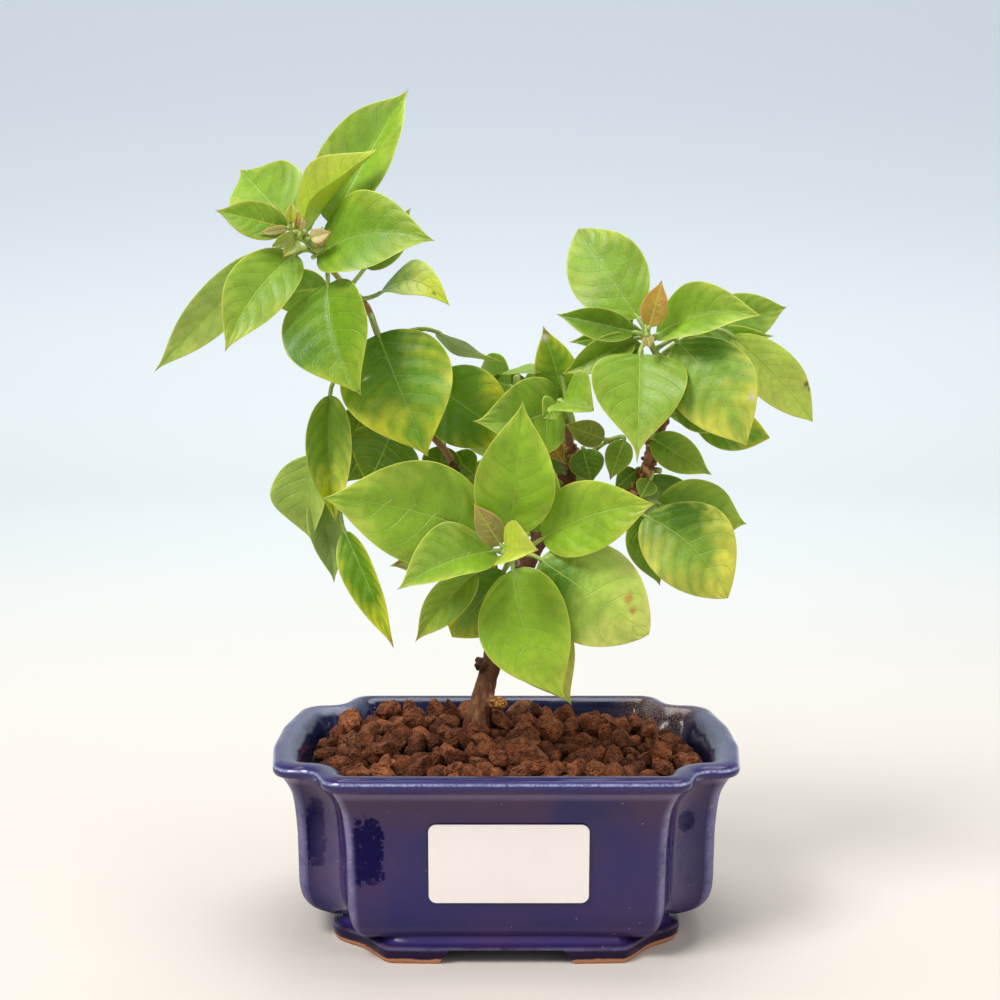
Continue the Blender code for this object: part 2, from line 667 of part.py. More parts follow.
LEFT_STEMS = [
    [(-49, 39, 7.0, 1.05), (-56, 51, 7.0, 1.0), (-85, 85, 6.0, 0.95), (-102, 120, 5.0, 0.95),
     (-122, 165, 4.0, 0.9), (-134, 195, 3.0, 0.85), (-155, 215, 2.0, 0.8), (-175, 238, 1.0, 0.7),
     (-186, 253, 0.0, 0.7)],
    [(-88, 90, 6.0, 0.8), (-124, 64, 5.5, 0.75), (-150, 48, 6.0, 0.7), (-162, 10, 8.0, 0.6),
     (-157, -28, 8.0, 0.5)],
]
LEFT_LEAVES = [
    (-169, 275, 0, -91, 412, 15, 23.5, -25, 35, 0.04, 0.0, 0.0),
    (-212, 279, 3, -261, 332, 26, 23, 0, 8, 0.05, 0.0, -0.7),
    (-193, 270, 1, -121, 353, -7, 20, -60, 50, 0.03, 0.0, 0.0),
    (-183, 245, -6, -65, 259, -20, 22, -25, 15, 0.05, -0.1, 0.1),
    (-204, 246, -6, -275, 148, -19, 16.5, 10, 14, 0.05, 0.07, 0.2),
    (-232, 247, 3, -346, 128, 18, 12.5, 0, 12, 0.04, 0.0, 0.0),
    (-172, 213, 8, -238, 204, 18, 12, 0, 10, 0.03, 0.0, 0.0),
    (-135, 232, 5, -89, 292, 16, 11, 0, 12, 0.03, 0.0, 0.0),
    (-120, 207, -1, -50, 194, -6, 15, -52, 10, 0.3, 0.0, 0.4),
    (-172, 216, -7, -138, 104, -19, 26.5, 19, 26, 0.04, 0.07, 0.1),
    (-122, 166, -3, -72, 42, -13, 29.5, 0, 8, 0.06, 0.0, 0.1),
    (-63, 168, 3, 4, 137, 9, 14, 76, 6, 0.04, 0.0, 0.0),
    (-70, 118, 3, 20, 55, 2, 22, 0, 10, 0.05, 0.0, 0.0),
    (-134, 90, 9, -150, 60, 10, 10, 0, 10, 0.02, 0.0, 0.0),
    (-170, 105, 3, -164, -24, 1, 18, 0, 48, 0.05, 0.03, 0.0),
    (-185, 45, 10, -189, -40, 14, 22, 37, 37, 0.04, 0.0, 0.3),
    (-185, 1, 14, -166, -83, 12, 12, 0, 38, 0.03, -0.05, 0.0),
    (-155, -32, 6, -106, -149, -6, 12.5, 20, 40, 0.03, -0.02, 0.0),
    (-128, 60, 11, -155, 17, 13, 12, 0, 10, 0.03, 0.0, 0.0),
    (-108, 68, 3, -134, 13, -2, 20, -10, 14, 0.05, 0.0, 0.0),
    (-56, 54, 10, -62, 15, 11, 11, 0, 15, 0.03, 0.0, 0.0),
    (-48, 45, 12, -24, 24, 15, 9.5, 0, 15, 0.03, 0.0, 0.0),
    (-105, 120, 10, -95, 92, 38, 20, 0, 10, 0.12, 0.0, 0.0),
    (-90, 90, 12, -70, 70, 36, 18, 20, 10, 0.1, 0.0, 0.0),
    (-160, 210, 8, -170, 170, 30, 16, 0, 10, 0.1, 0.0, 0.0),
]
LEFT_TIP_STEM = [[(-188, 254, -1.2, 0.65), (-192, 257, -5.0, 0.6), (-198, 264, -9.0, 0.45)]]
LEFT_TIP_LEAVES = [
    (-212, 272, -10, -285, 290, -9, 10, 0, 20, 0.05, 0.0, 0.0),
    (-203, 262, -11, -217, 242, -13, 4.5, 0, 30, 0.05, 0.0, 0.0),
    (-190, 262, -11, -168, 268, -13, 4.0, 0, 20, 0.05, 0.0, 0.0),
]

FRONT_STEMS = [[(16, -63, -5.4, 1.15), (13, -57, -13, 1.0), (9, -53, -19.5, 0.85)]]
FRONT_LEAVES = [
    (-12, -37, -19, -179, 2, -26, 26.5, 0, 8, 0.05, 0.05, 0.1),
    (10, -34, -18, 23, 100, -25, 21, 0, 15, 0.04, 0.0, 0.0),
    (-6, -51, -21, -103, -90, -34, 19, 30, 30, 0.04, 0.05, 0.0),
    (42, -39, -17, 156, -4, -26, 18.5, 0, 10, 0.05, -0.07, 0.2),
    (40, -59, -18, 149, -134, -24, 26.5, 0, -12, 0.07, 0.0, 0.9),
    (13, -69, -20, 65, -200, -28, 23.4, 0, 8, 0.05, 0.08, 0.1),
    (5, -90, -15, 72, -206, -15, 20, 0, 8, 0.03, 0.0, 0.0),
    (-24, -72, -19, -85, -142, -18, 12, 0, 35, 0.05, 0.03, 0.0),
    (4, -71, -16, -48, -137, -14, 18, 0, 12, 0.04, 0.0, 0.7),
    (28, -32, -13, 48, 48, -9, 13, 0, 10, 0.03, 0.0, 0.0),
    (-30, -50, -13, -111, -66, -11, 10, 0, 15, 0.03, 0.0, 0.0),
]
FRONT_TIP_STEM = [[(8.6, -52.6, -20.2, 0.8), (7, -51, -22.5, 0.7), (4, -50, -24.5, 0.5)]]
FRONT_TIP_LEAVES = [
    (1, -45, -24, -27, -3, -25, 7.2, 0, 15, 0.05, 0.0, 0.0),
    (5, -53, -27, 39, -50, -36, 16, -30, 36, 0.06, 0.0, -0.2),
]

MIDDLE_STEMS = [
    [(71, 38.5, 14.0, 1.4), (70, 53, 13.0, 1.2), (67, 75, 11.0, 1.0), (62, 95, 8.0, 0.8)],
    [(70, 47, 13.2, 0.85), (90, 48, 11.5, 0.7), (103, 56, 9.0, 0.6)],
]
MIDDLE_LEAVES = [
    (60, 97, 8, -28, 79, -10, 21, 8, 12, 0.04, -0.09, -0.2),
    (65, 99, 11, 43, 175, 8, 12, 0, 15, 0.04, 0.0, 0.0),
    (48, 130, 10, -2, 125, 12, 7, 70, 10, 0.03, 0.0, 0.0),
    (83, 51, 10, 92, 16, 9, 10, 0, 15, 0.03, 0.0, 0.0),
    (45, 66, 8, 65, 36, 6, 6, 0, 15, 0.05, 0.0, 0.0),
    (63, 72, 12, 40, 68, 11, 5, 0, 15, 0.05, 0.0, 0.0),
]
MIDDLE_TIP_STEM = [[(61.2, 97.5, 7.0, 0.7), (61, 99, 4.0, 0.6), (61, 99, 1.0, 0.45)]]
MIDDLE_TIP_LEAVES = [
    (62, 98, -2, 94, 89, -10, 19, -34, 36, 0.05, 0.0, 0.3),
    (58, 96, -1, 42, 80, -4, 8.5, 0, 20, 0.05, 0.0, -0.5),
]
TWIG_TIP_STEM = [[(104.5, 56.8, 8.4, 0.6), (107, 58.5, 7.0, 0.55), (110, 60, 6.0, 0.4)]]
TWIG_TIP_LEAVES = [
    (104, 61, 5, 64, 76, 3, 7.5, 0, 15, 0.05, 0.0, 0.0),
    (124, 60, 5, 110, 20, 2, 7.5, 0, 10, 0.05, 0.0, 0.0),
]

RIGHT_STEMS = [
    [(133, 2.5, 8.2, 1.5), (137, 7, 7.5, 1.5), (142, 20, 7.0, 1.5), (148, 35, 6.0, 1.5),
     (154, 53, 5.0, 1.4), (163, 77, 4.0, 1.2), (170, 98, 3.0, 1.1), (168, 125, 2.0, 1.0),
     (153, 152, 1.0, 0.9), (148, 166, 0.0, 0.75)],
    [(146, 30, 6.3, 0.9), (155, 30, 5.6, 0.85), (161, 29, 5.0, 0.8)],
]
RIGHT_LEAVES = [
    (138, 182, 0, 78, 271, 14, 21, 0, 10, 0.05, 0.0, 0.8),
    (135, 168, -1, 56, 186, 4, 11, 0, 40, 0.04, 0.0, 0.0),
    (132, 175, 5, 78, 210, 6, 8, 0, 15, 0.03, 0.0, 0.0),
    (156, 165, -2, 262, 184, -14, 17.6, -30, 30, 0.05, -0.09, 0.2),
    (195, 170, 3, 287, 193, 16, 14, 0, 8, 0.04, 0.0, 0.2),
    (200, 164, 6, 274, 164, 8, 6, 0, 8, 0.03, 0.0, 0.0),
    (178, 158, -5, 247, 53, -17, 22.5, 0, -10, 0.07, -0.05, 0.4),
    (232, 164, 1, 313, 78, 11, 14, 0, 10, 0.05, -0.03, 0.5),
    (140, 146, -4, 137, 35, -16, 25, 0, 12, 0.05, 0.0, -1.0),
    (152, 62, -2, 212, 25, -5, 10, 0, 10, 0.04, 0.0, 0.0),
    (176, 106, 0, 233, 68, 0, 12, 0, 10, 0.03, 0.0, 0.0),
    (195, 80, 3, 270, 62, 3, 12, 0, 10, 0.03, 0.0, 0.6),
    (142, 155, 1, 112, 138, 1, 7, 0, 15, 0.03, 0.0, 0.0),
    (135, 161, 1, 61, 125, 1, 11.5, 0, 40, 0.03, 0.0, 0.0),
    (132, 165, 9, 69, 158, 10, 6, 0, 15, 0.03, 0.0, 0.0),
    (145, -16, 2, 228, -98, -5, 24, 0, 8, 0.07, -0.1, 0.8),
    (157, -3, 4, 247, -24, 18, 18, 0, 8, 0.05, 0.0, 0.0),
    (140, -15, 6, 160, -86, 7, 12, 0, 10, 0.03, 0.0, 0.0),
    (136, 30, 9, 114, 10, 7, 6, 0, 10, 0.03, 0.0, 0.0),
    (150, 20, 4, 140, 2, 2, 6, 0, 10, 0.03, 0.0, 0.0),
    (168, 85, 8, 190, 100, 36, 18, 0, 10, 0.12, 0.0, 0.0),
    (160, 130, 7, 142, 100, 34, 18, 0, 10, 0.12, 0.0, 0.0),
    (150, 25, 10, 170, -10, 34, 18, 10, 10, 0.1, 0.0, 0.0),
]
RIGHT_TIP_STEM = [[(148, 169, -1.0, 0.65), (148, 172, -4.0, 0.6), (148, 173, -7.0, 0.45)]]
RIGHT_TIP_LEAVES = [
    (149, 173, -8, 162, 220, -8, 7, 0, 12, 0.05, 0.0, 0.0),
    (147, 164, -8, 150, 152, -10, 3.5, 0, 15, 0.05, 0.0, 0.0),
]

BACK_STEMS = [[(25.5, 43, 25.2, 1.15), (22, 84, 27.5, 1.0), (16, 124, 28.6, 0.85)]]
BACK_LEAVES = [
    (18, 42, 27, -24, -18, 52, 20, 0, 10, 0.1, 0.0, 0.0),
    (30, 50, 28, 85, 0, 48, 20, 0, 10, 0.1, 0.0, 0.0),
    (30, 34, 26, 35, -40, 46, 22, 0, 10, 0.08, 0.0, 0.0),
    (15, 84, 29, -48, 66, 45, 18, 0, 10, 0.08, 0.0, 0.0),
    (27, 82, 29, 76, 60, 46, 17, 0, 10, 0.08, 0.0, 0.0),
    (11, 114, 30, -24, 124, 48, 16, 0, 10, 0.08, 0.0, 0.0),
    (22, 116, 30, 54, 112, 49, 15, 0, 10, 0.08, 0.0, 0.0),
    (16.5, 128, 31, 10, 98, 56, 17, 6, 10, 0.1, 0.0, 0.0),
]

leafy_stem("leafy_stem_left", LEFT_STEMS, LEFT_LEAVES, GREEN)
leafy_stem("young_shoot_left", LEFT_TIP_STEM, LEFT_TIP_LEAVES, YOUNG)
leafy_stem("leafy_stem_front", FRONT_STEMS, FRONT_LEAVES, GREEN)
leafy_stem("young_shoot_front", FRONT_TIP_STEM, FRONT_TIP_LEAVES, YOUNG)
leafy_stem("leafy_stem_middle", MIDDLE_STEMS, MIDDLE_LEAVES, GREEN)
leafy_stem("young_shoot_middle", MIDDLE_TIP_STEM, MIDDLE_TIP_LEAVES, YOUNG)
leafy_stem("young_shoot_twig", TWIG_TIP_STEM, TWIG_TIP_LEAVES, YOUNG)
leafy_stem("leafy_stem_right", RIGHT_STEMS, RIGHT_LEAVES, GREEN)
leafy_stem("young_shoot_right", RIGHT_TIP_STEM, RIGHT_TIP_LEAVES, YOUNG)
leafy_stem("leafy_stem_back", BACK_STEMS, BACK_LEAVES, GREEN)

# Label: a plain white sticker with rounded corners on the front panel
LABEL_CENTRE = (0.8, 26.6)
label_x, label_z = LABEL_CENTRE
wide, tall, thick = LABEL_SIZE
corner_turns = [math.radians(90 * quarter + 22.5 * k) for quarter in range(4) for k in range(5)]
label_outline = []
for k, a in enumerate(corner_turns):
    quarter = k // 5
    ox = (wide / 2 - LABEL_CORNER) * (1 if quarter in (0, 3) else -1)
    oz = (tall / 2 - LABEL_CORNER) * (1 if quarter in (0, 1) else -1)
    label_outline.append((ox + LABEL_CORNER * math.cos(a), oz + LABEL_CORNER * math.sin(a)))


def panel_depth(z):
    """Depth y of the front panel's face at height z."""
    heights_up = [row[1] for row in OUTER_WALL[3:6]]
    insets_up = [row[0] for row in OUTER_WALL[3:6]]
    return cy - RIM_HALF_DEPTH + float(np.interp(z, heights_up, insets_up))


label_points = []
for back in (0.35 + thick, 0.35):
    for ox, oz in label_outline:
        z = label_z + oz
        lean = panel_depth(18.0) + (panel_depth(37.0) - panel_depth(18.0)) * (z - 18.0) / 19.0
        label_points.append((label_x + ox, lean - back, z))
ring_count = len(label_outline)
label_faces = [tuple(range(ring_count)), tuple(reversed(range(ring_count, 2 * ring_count)))]
for k in range(ring_count):
    m = (k + 1) % ring_count
    label_faces.append((k, ring_count + k, ring_count + m, m))
mesh_object("label", label_points, label_faces, PAPER)
clean(bpy.data.objects["label"])
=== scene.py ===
import math

import bmesh
import bpy
import numpy as np
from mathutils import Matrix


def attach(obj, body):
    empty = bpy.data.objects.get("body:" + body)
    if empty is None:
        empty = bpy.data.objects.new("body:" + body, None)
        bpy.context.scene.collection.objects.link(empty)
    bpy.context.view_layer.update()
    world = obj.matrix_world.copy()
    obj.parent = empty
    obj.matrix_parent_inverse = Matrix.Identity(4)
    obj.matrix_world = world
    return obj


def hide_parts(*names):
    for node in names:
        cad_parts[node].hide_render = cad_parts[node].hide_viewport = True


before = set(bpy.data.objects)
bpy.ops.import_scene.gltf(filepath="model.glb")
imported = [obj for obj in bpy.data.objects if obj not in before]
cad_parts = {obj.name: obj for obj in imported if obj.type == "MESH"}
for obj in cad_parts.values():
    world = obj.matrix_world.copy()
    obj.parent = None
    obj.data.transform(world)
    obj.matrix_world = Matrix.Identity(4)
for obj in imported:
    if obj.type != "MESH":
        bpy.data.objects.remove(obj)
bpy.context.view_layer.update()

# The pot: slip-cast stoneware, an oblong with stepped corners, bowed end lobes, a rolled lip and
# four low feet. It was dipped in a glossy cobalt glaze that thins to pale blue on sharp edges,
# and wiped bare under the feet. Layout lengths are millimetres on the table.
BASE_CENTRE = np.array([-6.5, 8.0, 0.0])
POT_CENTRE = np.array([0.2, 2.2])
FLOOR_TOP = 10.0
FOOT_HEIGHT = 3.8
LOBE_START = 36.0
ARC_STEPS = 8
PANEL_FRONT = 42.5
# Corners of a quarter of the plan, of the body and of the lip: x, y and radius
BODY_CORNERS = np.array([(44.5, -PANEL_FRONT, 3.5), (47.5, -27.5, 5.5), (58.8, -30, 2.6), (61.6, -9, 30)])
LIP_CORNERS = np.array([(44.5, -PANEL_FRONT, 5.2), (48.4, -31, 5.2), (58.6, -32, 6.4), (61.8, -9, 30)])
SMALLEST_OUTWARD, LARGEST_INWARD = 3.0, 8.5
# Each row of the wall: inset from the lip, height, share of the lobes' reach, share of the lip's plan
OUTER_WALL = (
    (10.2, 5.4, 0.55, 0), (8.4, 6.6, 0.74, 0), (7.1, 9, 0.92, 0), (6.35, 13.5, 1, 0), (6, 22, 1, 0),
    (5.8, 30, 1, 0), (4.9, 38.5, 1, 0.05), (3.5, 42.8, 1, 0.3), (2.1, 45.2, 1, 0.6), (1.5, 45.75, 1, 0.75),
    (1, 46, 1, 0.85), (0.35, 46.45, 1, 1), (0, 47.4, 1, 1), (0.25, 48.4, 1, 1), (1.3, 49.25, 1, 1),
)
INNER_WALL = (
    (3.4, 49.6, 1, 1), (5.8, 48.5, 1, 1), (8, 45.2, 1, 0.8), (9.6, 38, 1, 0.35), (10.3, 28, 0.98, 0.15),
    (10.8, 14, 0.94, 0), (13.4, FLOOR_TOP, 0.9, 0),
)
WALL_STEPS = 5
STRAIGHT_SHARES = (0.015, 0.06, 0.2, 0.4, 0.6, 0.8, 0.94, 0.985)
BASE_CORNERS = ((28.6, 36.4), (31, 35), (34, 30.6), (37.6, 26.2), (41.4, 23.8), (44.2, 21.2), (45.5, 17.5))
# Rows of the base slab: height and share of its plan
BASE_ROWS = (
    (0, 0.984), (0.25, 0.992), (0.8, 1), (2.4, 1.006), (3.5, 1.01), (4.1, 1.004), (4.5, 0.985), (5, 0.963),
    (5.7, 0.947), (6.6, 0.936),
)
# Half sizes of the hollow between the feet, and half widths of the gaps between them
FOOT_CORE = (29.0, 21.0)
FEET_GAP_LOW, FEET_GAP_TOP = 18.0, 14.4
SIDE_GAP = 12.0
# Cutters start below the feet and run past the pot's ends
BELOW, BEYOND = -1.0, 80.0
DRAIN_HOLE_X = 24.0
DRAIN_HOLE_RADIUS = 5.5
DRAIN_CUT = (0.0, 15.0)


def unit(vectors):
    """Vectors scaled to length one."""
    return vectors / np.linalg.norm(vectors, axis=-1, keepdims=True)


def part_way(a, b, share):
    """Values at a share of the way from a to b."""
    return a + (b - a) * share


def quads(index):
    """Quads between the neighbours of a grid of point numbers."""
    return np.stack([index[:-1, :-1], index[:-1, 1:], index[1:, 1:], index[1:, :-1]], -1).reshape(-1, 4)


def closed(index):
    """A grid of point numbers whose last column is its first again."""
    return np.hstack([index, index[:, :1]])


def make_piece(name, points, faces, looks, face_looks=None):
    """Smooth object through points in millimetres; faces is a list of arrays of corner numbers."""
    loops = np.concatenate([part.ravel() for part in faces]).astype(np.int32)
    sizes = np.concatenate([np.full(len(part), part.shape[1]) for part in faces])
    data = bpy.data.meshes.new(name)
    data.vertices.add(len(points))
    data.vertices.foreach_set("co", ((points - BASE_CENTRE) * 0.001).ravel())
    data.loops.add(len(loops))
    data.loops.foreach_set("vertex_index", loops)
    data.polygons.add(len(sizes))
    data.polygons.foreach_set("loop_start", (np.cumsum(sizes) - sizes).astype(np.int32))
    data.polygons.foreach_set("use_smooth", np.ones(len(sizes), bool))
    for look in looks:
        data.materials.append(look)
    if face_looks is not None:
        data.polygons.foreach_set("material_index", face_looks.astype(np.int32))
    data.update(calc_edges=True)
    made = bpy.data.objects.new(name, data)
    bpy.context.scene.collection.objects.link(made)
    return made


def corner_points(piece):
    """Number of the point at each face corner."""
    numbers = np.zeros(len(piece.data.loops), np.int32)
    piece.data.loops.foreach_get("vertex_index", numbers)
    return numbers


def store_colour(piece, name, colours, domain="POINT"):
    """Keeps a linear colour for each point, or corner, under a name that the finish reads."""
    stored = piece.data.color_attributes.new(name, "FLOAT_COLOR", domain)
    opaque = np.column_stack([colours, np.ones(len(colours))])
    stored.data.foreach_set("color", opaque.astype(np.float32).ravel())


def finished(piece):
    """Puts the result of the piece's modifiers into its mesh and drops them."""
    bpy.context.view_layer.update()
    graph = bpy.context.evaluated_depsgraph_get()
    done = bpy.data.meshes.new_from_object(piece.evaluated_get(graph))
    piece.modifiers.clear()
    piece.data = done


def cut(piece, tool, operation="DIFFERENCE"):
    """Takes away, or adds, the tool's body, and drops the tool."""
    change = piece.modifiers.new("cut", "BOOLEAN")
    change.object = tool
    change.operation = operation
    change.solver = "EXACT"
    finished(piece)
    bpy.data.objects.remove(tool, do_unlink=True)


def raised(plan, height):
    """Plan points at a height, or each at its own."""
    return np.column_stack([plan, np.full(len(plan), height)])


def loft(name, rings, looks):
    """Closed body through plan rings, one array of points by ring, with a flat cap at each end."""
    rings = np.stack(rings)
    rows, columns = rings.shape[:2]
    index = np.arange(rows * columns).reshape(rows, columns)
    faces = [quads(closed(index)), index[:1, ::-1], index[-1:]]
    return make_piece(name, rings.reshape(-1, 3), faces, looks)


def outline(inset, lip):
    """Plan between the body's and the lip's by the share lip, moved inward by inset: every side shifts
    in parallel, every corner is an arc tangent to its two sides, tighter on outward corners and
    wider on inward ones, and straight runs join the arcs."""
    quarter = part_way(BODY_CORNERS, LIP_CORNERS, lip)
    back = quarter[::-1] * (1, -1, 1)
    corners = np.vstack([quarter, back, quarter * (-1, -1, 1), back * (-1, -1, 1)])
    after = unit(np.roll(corners[:, :2], -1, axis=0) - corners[:, :2])
    start = corners[:, :2] + np.stack([-after[:, 1], after[:, 0]], 1) * inset
    before = np.roll(after, 1, axis=0)
    last = np.roll(start, 1, axis=0)
    cross = before[:, 0] * after[:, 1] - before[:, 1] * after[:, 0]
    gap = start - last
    reach = (gap[:, 0] * after[:, 1] - gap[:, 1] * after[:, 0]) / cross
    corner = last + before * reach[:, None]
    outward = np.maximum(corners[:, 2] - inset * 0.3, SMALLEST_OUTWARD)
    inward = np.minimum(corners[:, 2] + inset * 0.6, LARGEST_INWARD)
    radius = np.where(cross > 0, outward, inward)
    half = np.arccos(np.clip((before * after).sum(1), -1, 1)) / 2
    first = corner - before * (radius * np.tan(half))[:, None]
    turn = np.sign(cross)
    centre = first + np.stack([-before[:, 1], before[:, 0]], 1) * (radius * turn)[:, None]
    angle = (turn * 2 * half)[:, None] * np.linspace(0, 1, ARC_STEPS + 1)
    arm = first - centre
    x = np.cos(angle) * arm[:, :1] - np.sin(angle) * arm[:, 1:]
    y = np.sin(angle) * arm[:, :1] + np.cos(angle) * arm[:, 1:]
    arc = centre[:, None] + np.stack([x, y], -1)
    run = np.roll(arc[:, :1], -1, axis=0) - arc[:, -1:]
    straight = arc[:, -1:] + run * np.array(STRAIGHT_SHARES)[:, None]
    return np.concatenate([arc, straight], axis=1).reshape(-1, 2)


def wall_ring(inset, height, reach, lip):
    """Plan ring at a height, with the end lobes pulled in toward the middle panel."""
    ring = outline(inset, lip)
    past = np.maximum(0.0, np.abs(ring[:, 0]) - LOBE_START)
    x = ring[:, 0] - np.sign(ring[:, 0]) * past * (1 - reach) + POT_CENTRE[0]
    return raised(np.stack([x, ring[:, 1] + POT_CENTRE[1]], 1), height)


def smooth_rows(rows, steps):
    """Catmull-Rom curve through rows of values, each span cut into steps."""
    rows = np.asarray(rows, float)
    padded = np.vstack([2 * rows[0] - rows[1], rows, 2 * rows[-1] - rows[-2]])
    a, b, c, d = padded[:-3, None], padded[1:-2, None], padded[2:-1, None], padded[3:, None]
    t = (np.arange(steps) / steps)[:, None]
    curve = 0.5 * (
        2 * b + (c - a) * t + (2 * a - 5 * b + 4 * c - d) * t ** 2 + (3 * b - a - 3 * c + d) * t ** 3
    )
    return np.vstack([curve.reshape(-1, rows.shape[1]), rows[-1:]])


def linear(shade):
    """Linear colour of a tone given in 0 to 255 display steps."""
    steps = np.array(shade) / 255
    return np.where(steps > 0.04045, ((steps + 0.055) / 1.055) ** 2.4, steps / 12.92)


class Wire:
    """What a shader node gives out, which adds and multiplies like a number."""

    def __init__(self, socket):
        self.socket = socket

    def __add__(self, other):
        return maths("ADD", self, other)

    def __sub__(self, other):
        return maths("SUBTRACT", self, other)

    def __rsub__(self, other):
        return maths("SUBTRACT", other, self)

    def __mul__(self, other):
        return maths("MULTIPLY", self, other)

    def __truediv__(self, other):
        return maths("DIVIDE", self, other)

    def __pow__(self, other):
        return maths("POWER", self, other)

    def __abs__(self):
        return maths("ABSOLUTE", self)


def feed(made, key, value):
    """Gives a node's input a value, or what a wire carries."""
    if isinstance(value, Wire):
        made.id_data.links.new(value.socket, made.inputs[key])
    else:
        made.inputs[key].default_value = value


def source(tree, kind, output, **settings):
    """Wire from a new node with the given settings."""
    made = tree.nodes.new("ShaderNode" + kind)
    for key, value in settings.items():
        setattr(made, key, value)
    return Wire(made.outputs[output])


def node(kind, sockets, output=0, **settings):
    """Wire from a new node; sockets pairs an input's name or place with a value or a wire."""
    tree = next(value.socket.id_data for value in sockets.values() if isinstance(value, Wire))
    wire = source(tree, kind, output, **settings)
    for key, value in sockets.items():
        feed(wire.socket.node, key, value)
    return wire


def maths(operation, *values, **settings):
    """Wire from one arithmetic step."""
    return node("Math", dict(enumerate(values)), operation=operation, **settings)


def on_mesh(look, name, output="Color"):
    """Wire of what the mesh keeps under a name."""
    return source(look.node_tree, "Attribute", output, attribute_name=name)


def split(wire, kind="XYZ"):
    """Wires of the parts of a vector or a colour."""
    return [Wire(output) for output in node("Separate" + kind, {0: wire}).socket.node.outputs]


def fade(value, low, high, start=0.0, end=1.0):
    """Share that runs smoothly from start to end while value runs from low to high."""
    sockets = {"Value": value, "From Min": low, "From Max": high, "To Min": start, "To Max": end}
    return node("MapRange", sockets, interpolation_type="SMOOTHSTEP")


def blend(share, a, b, kind="MIX"):
    """Colour b laid over colour a by share; a plain colour of three is in display steps."""
    a, b = [(*linear(colour), 1.0) if isinstance(colour, tuple) else colour for colour in (a, b)]
    return node("Mix", {0: share, 6: a, 7: b}, 2, data_type="RGBA", blend_type=kind)


def grain(where, scale, detail=3.0, rough=0.55):
    """Cloudy noise value, of scale waves to a unit of where."""
    return node("TexNoise", {"Vector": where, "Scale": scale, "Detail": detail, "Roughness": rough}, "Fac")


def away_from(where, spot):
    """Distance from a spot, in metres."""
    return node("VectorMath", {0: where, 1: spot}, "Value", operation="DISTANCE")


def new_look(name, roughness, specular=0.5):
    """An empty finish: its material, its main shader and the object's own coordinates."""
    look = bpy.data.materials.new(name)
    look.use_nodes = True
    shader = look.node_tree.nodes["Principled BSDF"]
    feed(shader, "Roughness", roughness)
    feed(shader, "Specular IOR Level", specular)
    return look, shader, source(look.node_tree, "TexCoord", "Object")


def relief(shader, height, distance, strength=1.0):
    """Bump of the given height into the shader's normal."""
    feed(shader, "Normal", node("Bump", {"Height": height, "Distance": distance, "Strength": strength}))


wall_rows = smooth_rows(OUTER_WALL + INNER_WALL, WALL_STEPS)
wall_rings = np.stack([wall_ring(*row) for row in wall_rows])
arc_shape = np.concatenate([np.sin(np.linspace(0, math.pi, ARC_STEPS + 1)), np.zeros(len(STRAIGHT_SHARES))])
row_place = np.arange(len(wall_rows)) / WALL_STEPS


def wall_mark(places, shares, quarter, sharpness=1.0):
    """Share by point of the wall: up the wall by its row, times round it by the arcs of the corners
    that a quarter of the plan marks."""
    round_plan = np.array([*quarter, *quarter[::-1]] * 2)[:, None] * arc_shape ** sharpness
    return (np.interp(row_place, places, shares)[:, None] * round_plan.ravel()).ravel()


# Outward corners in red, the inside in green, valleys in blue
inside_rows = np.repeat(np.interp(row_place, (14, 15.5), (0, 1)), wall_rings.shape[1])
pot_marks = np.column_stack([
    wall_mark((1.5, 3, 6, 8, 10), (0, 1, 1, 0.5, 0), (1, 0, 0.8, 0), 2.4), inside_rows,
    wall_mark((0.5, 2, 8, 10), (0.3, 1, 1, 0), (0, 1, 0, 0)),
])

glaze, shader, place = new_look("cobalt_glaze", 0.16)
across, depth, height = split(place)
edges, inside, valleys = split(on_mesh(glaze, "pot_marks"), "Color")
clouds = grain(place, 38, 4)
patches = grain(place, 150, 5, 0.65)
dusty = grain(place, 1300, 6, 0.75)
body = blend(fade(clouds, 0.35, 0.66), (32, 25, 88), (50, 32, 84))
# Painted reflection: a purple-brown cast over the upper body, as from warm surroundings
body = blend(fade(height, 0.030, 0.044) * fade(clouds, 0.3, 0.6) * 0.6, body, (74, 48, 74))


def band(low, high, soft):
    """Share inside a band of height, in metres, fading over soft at both ends."""
    return fade(height, low - soft, low + soft) * fade(height, high + soft, high - soft)


# Painted reflections: nearly black blue patches on the front, standing in for a dark reflection in the glaze:
# middle x and z and half sizes, in metres
REFLECTION_PATCHES = (
    (-0.0278, 0.0296, 0.0036, 0.0085), (-0.0424, 0.0296, 0.0023, 0.0085), (0.0531, 0.0328, 0.002, 0.0026),
)
ragged = (grain(place, 560, 6, 0.8) - 0.5) * 9.0
facing_front = fade(depth, -0.018, -0.022)
painted_reflections = 0.0
for x, z, half_x, half_z in REFLECTION_PATCHES:
    reach = ((across - x) / half_x) ** 4.0 + ((height - z) / half_z) ** 4.0
    dark_reflection = fade(reach + ragged, 1.6, 0.9) * facing_front
    painted_reflections = maths("MAXIMUM", painted_reflections, dark_reflection)
    body = blend(dark_reflection * 0.9, body, (8, 6, 60))
# Painted light: a lighter band over the cove above the base
body = blend(band(0.0050, 0.0090, 0.0008) * 0.3, body, (96, 80, 116))
body = blend(band(0.0010, 0.0046, 0.0005) * 0.75, body, (38, 22, 28))
body = blend(inside, body, blend(patches, (8, 10, 48), (20, 22, 62)))
worn = edges * fade(patches, 0.15, 0.6)
body = blend(worn * 0.7, body, (130, 126, 172))
# Painted light: a pale lilac in the valleys between the panel and the lobes, where shade falls
body = blend(valleys * fade(patches, 0.2, 0.6) * 0.28, body, (112, 98, 130))
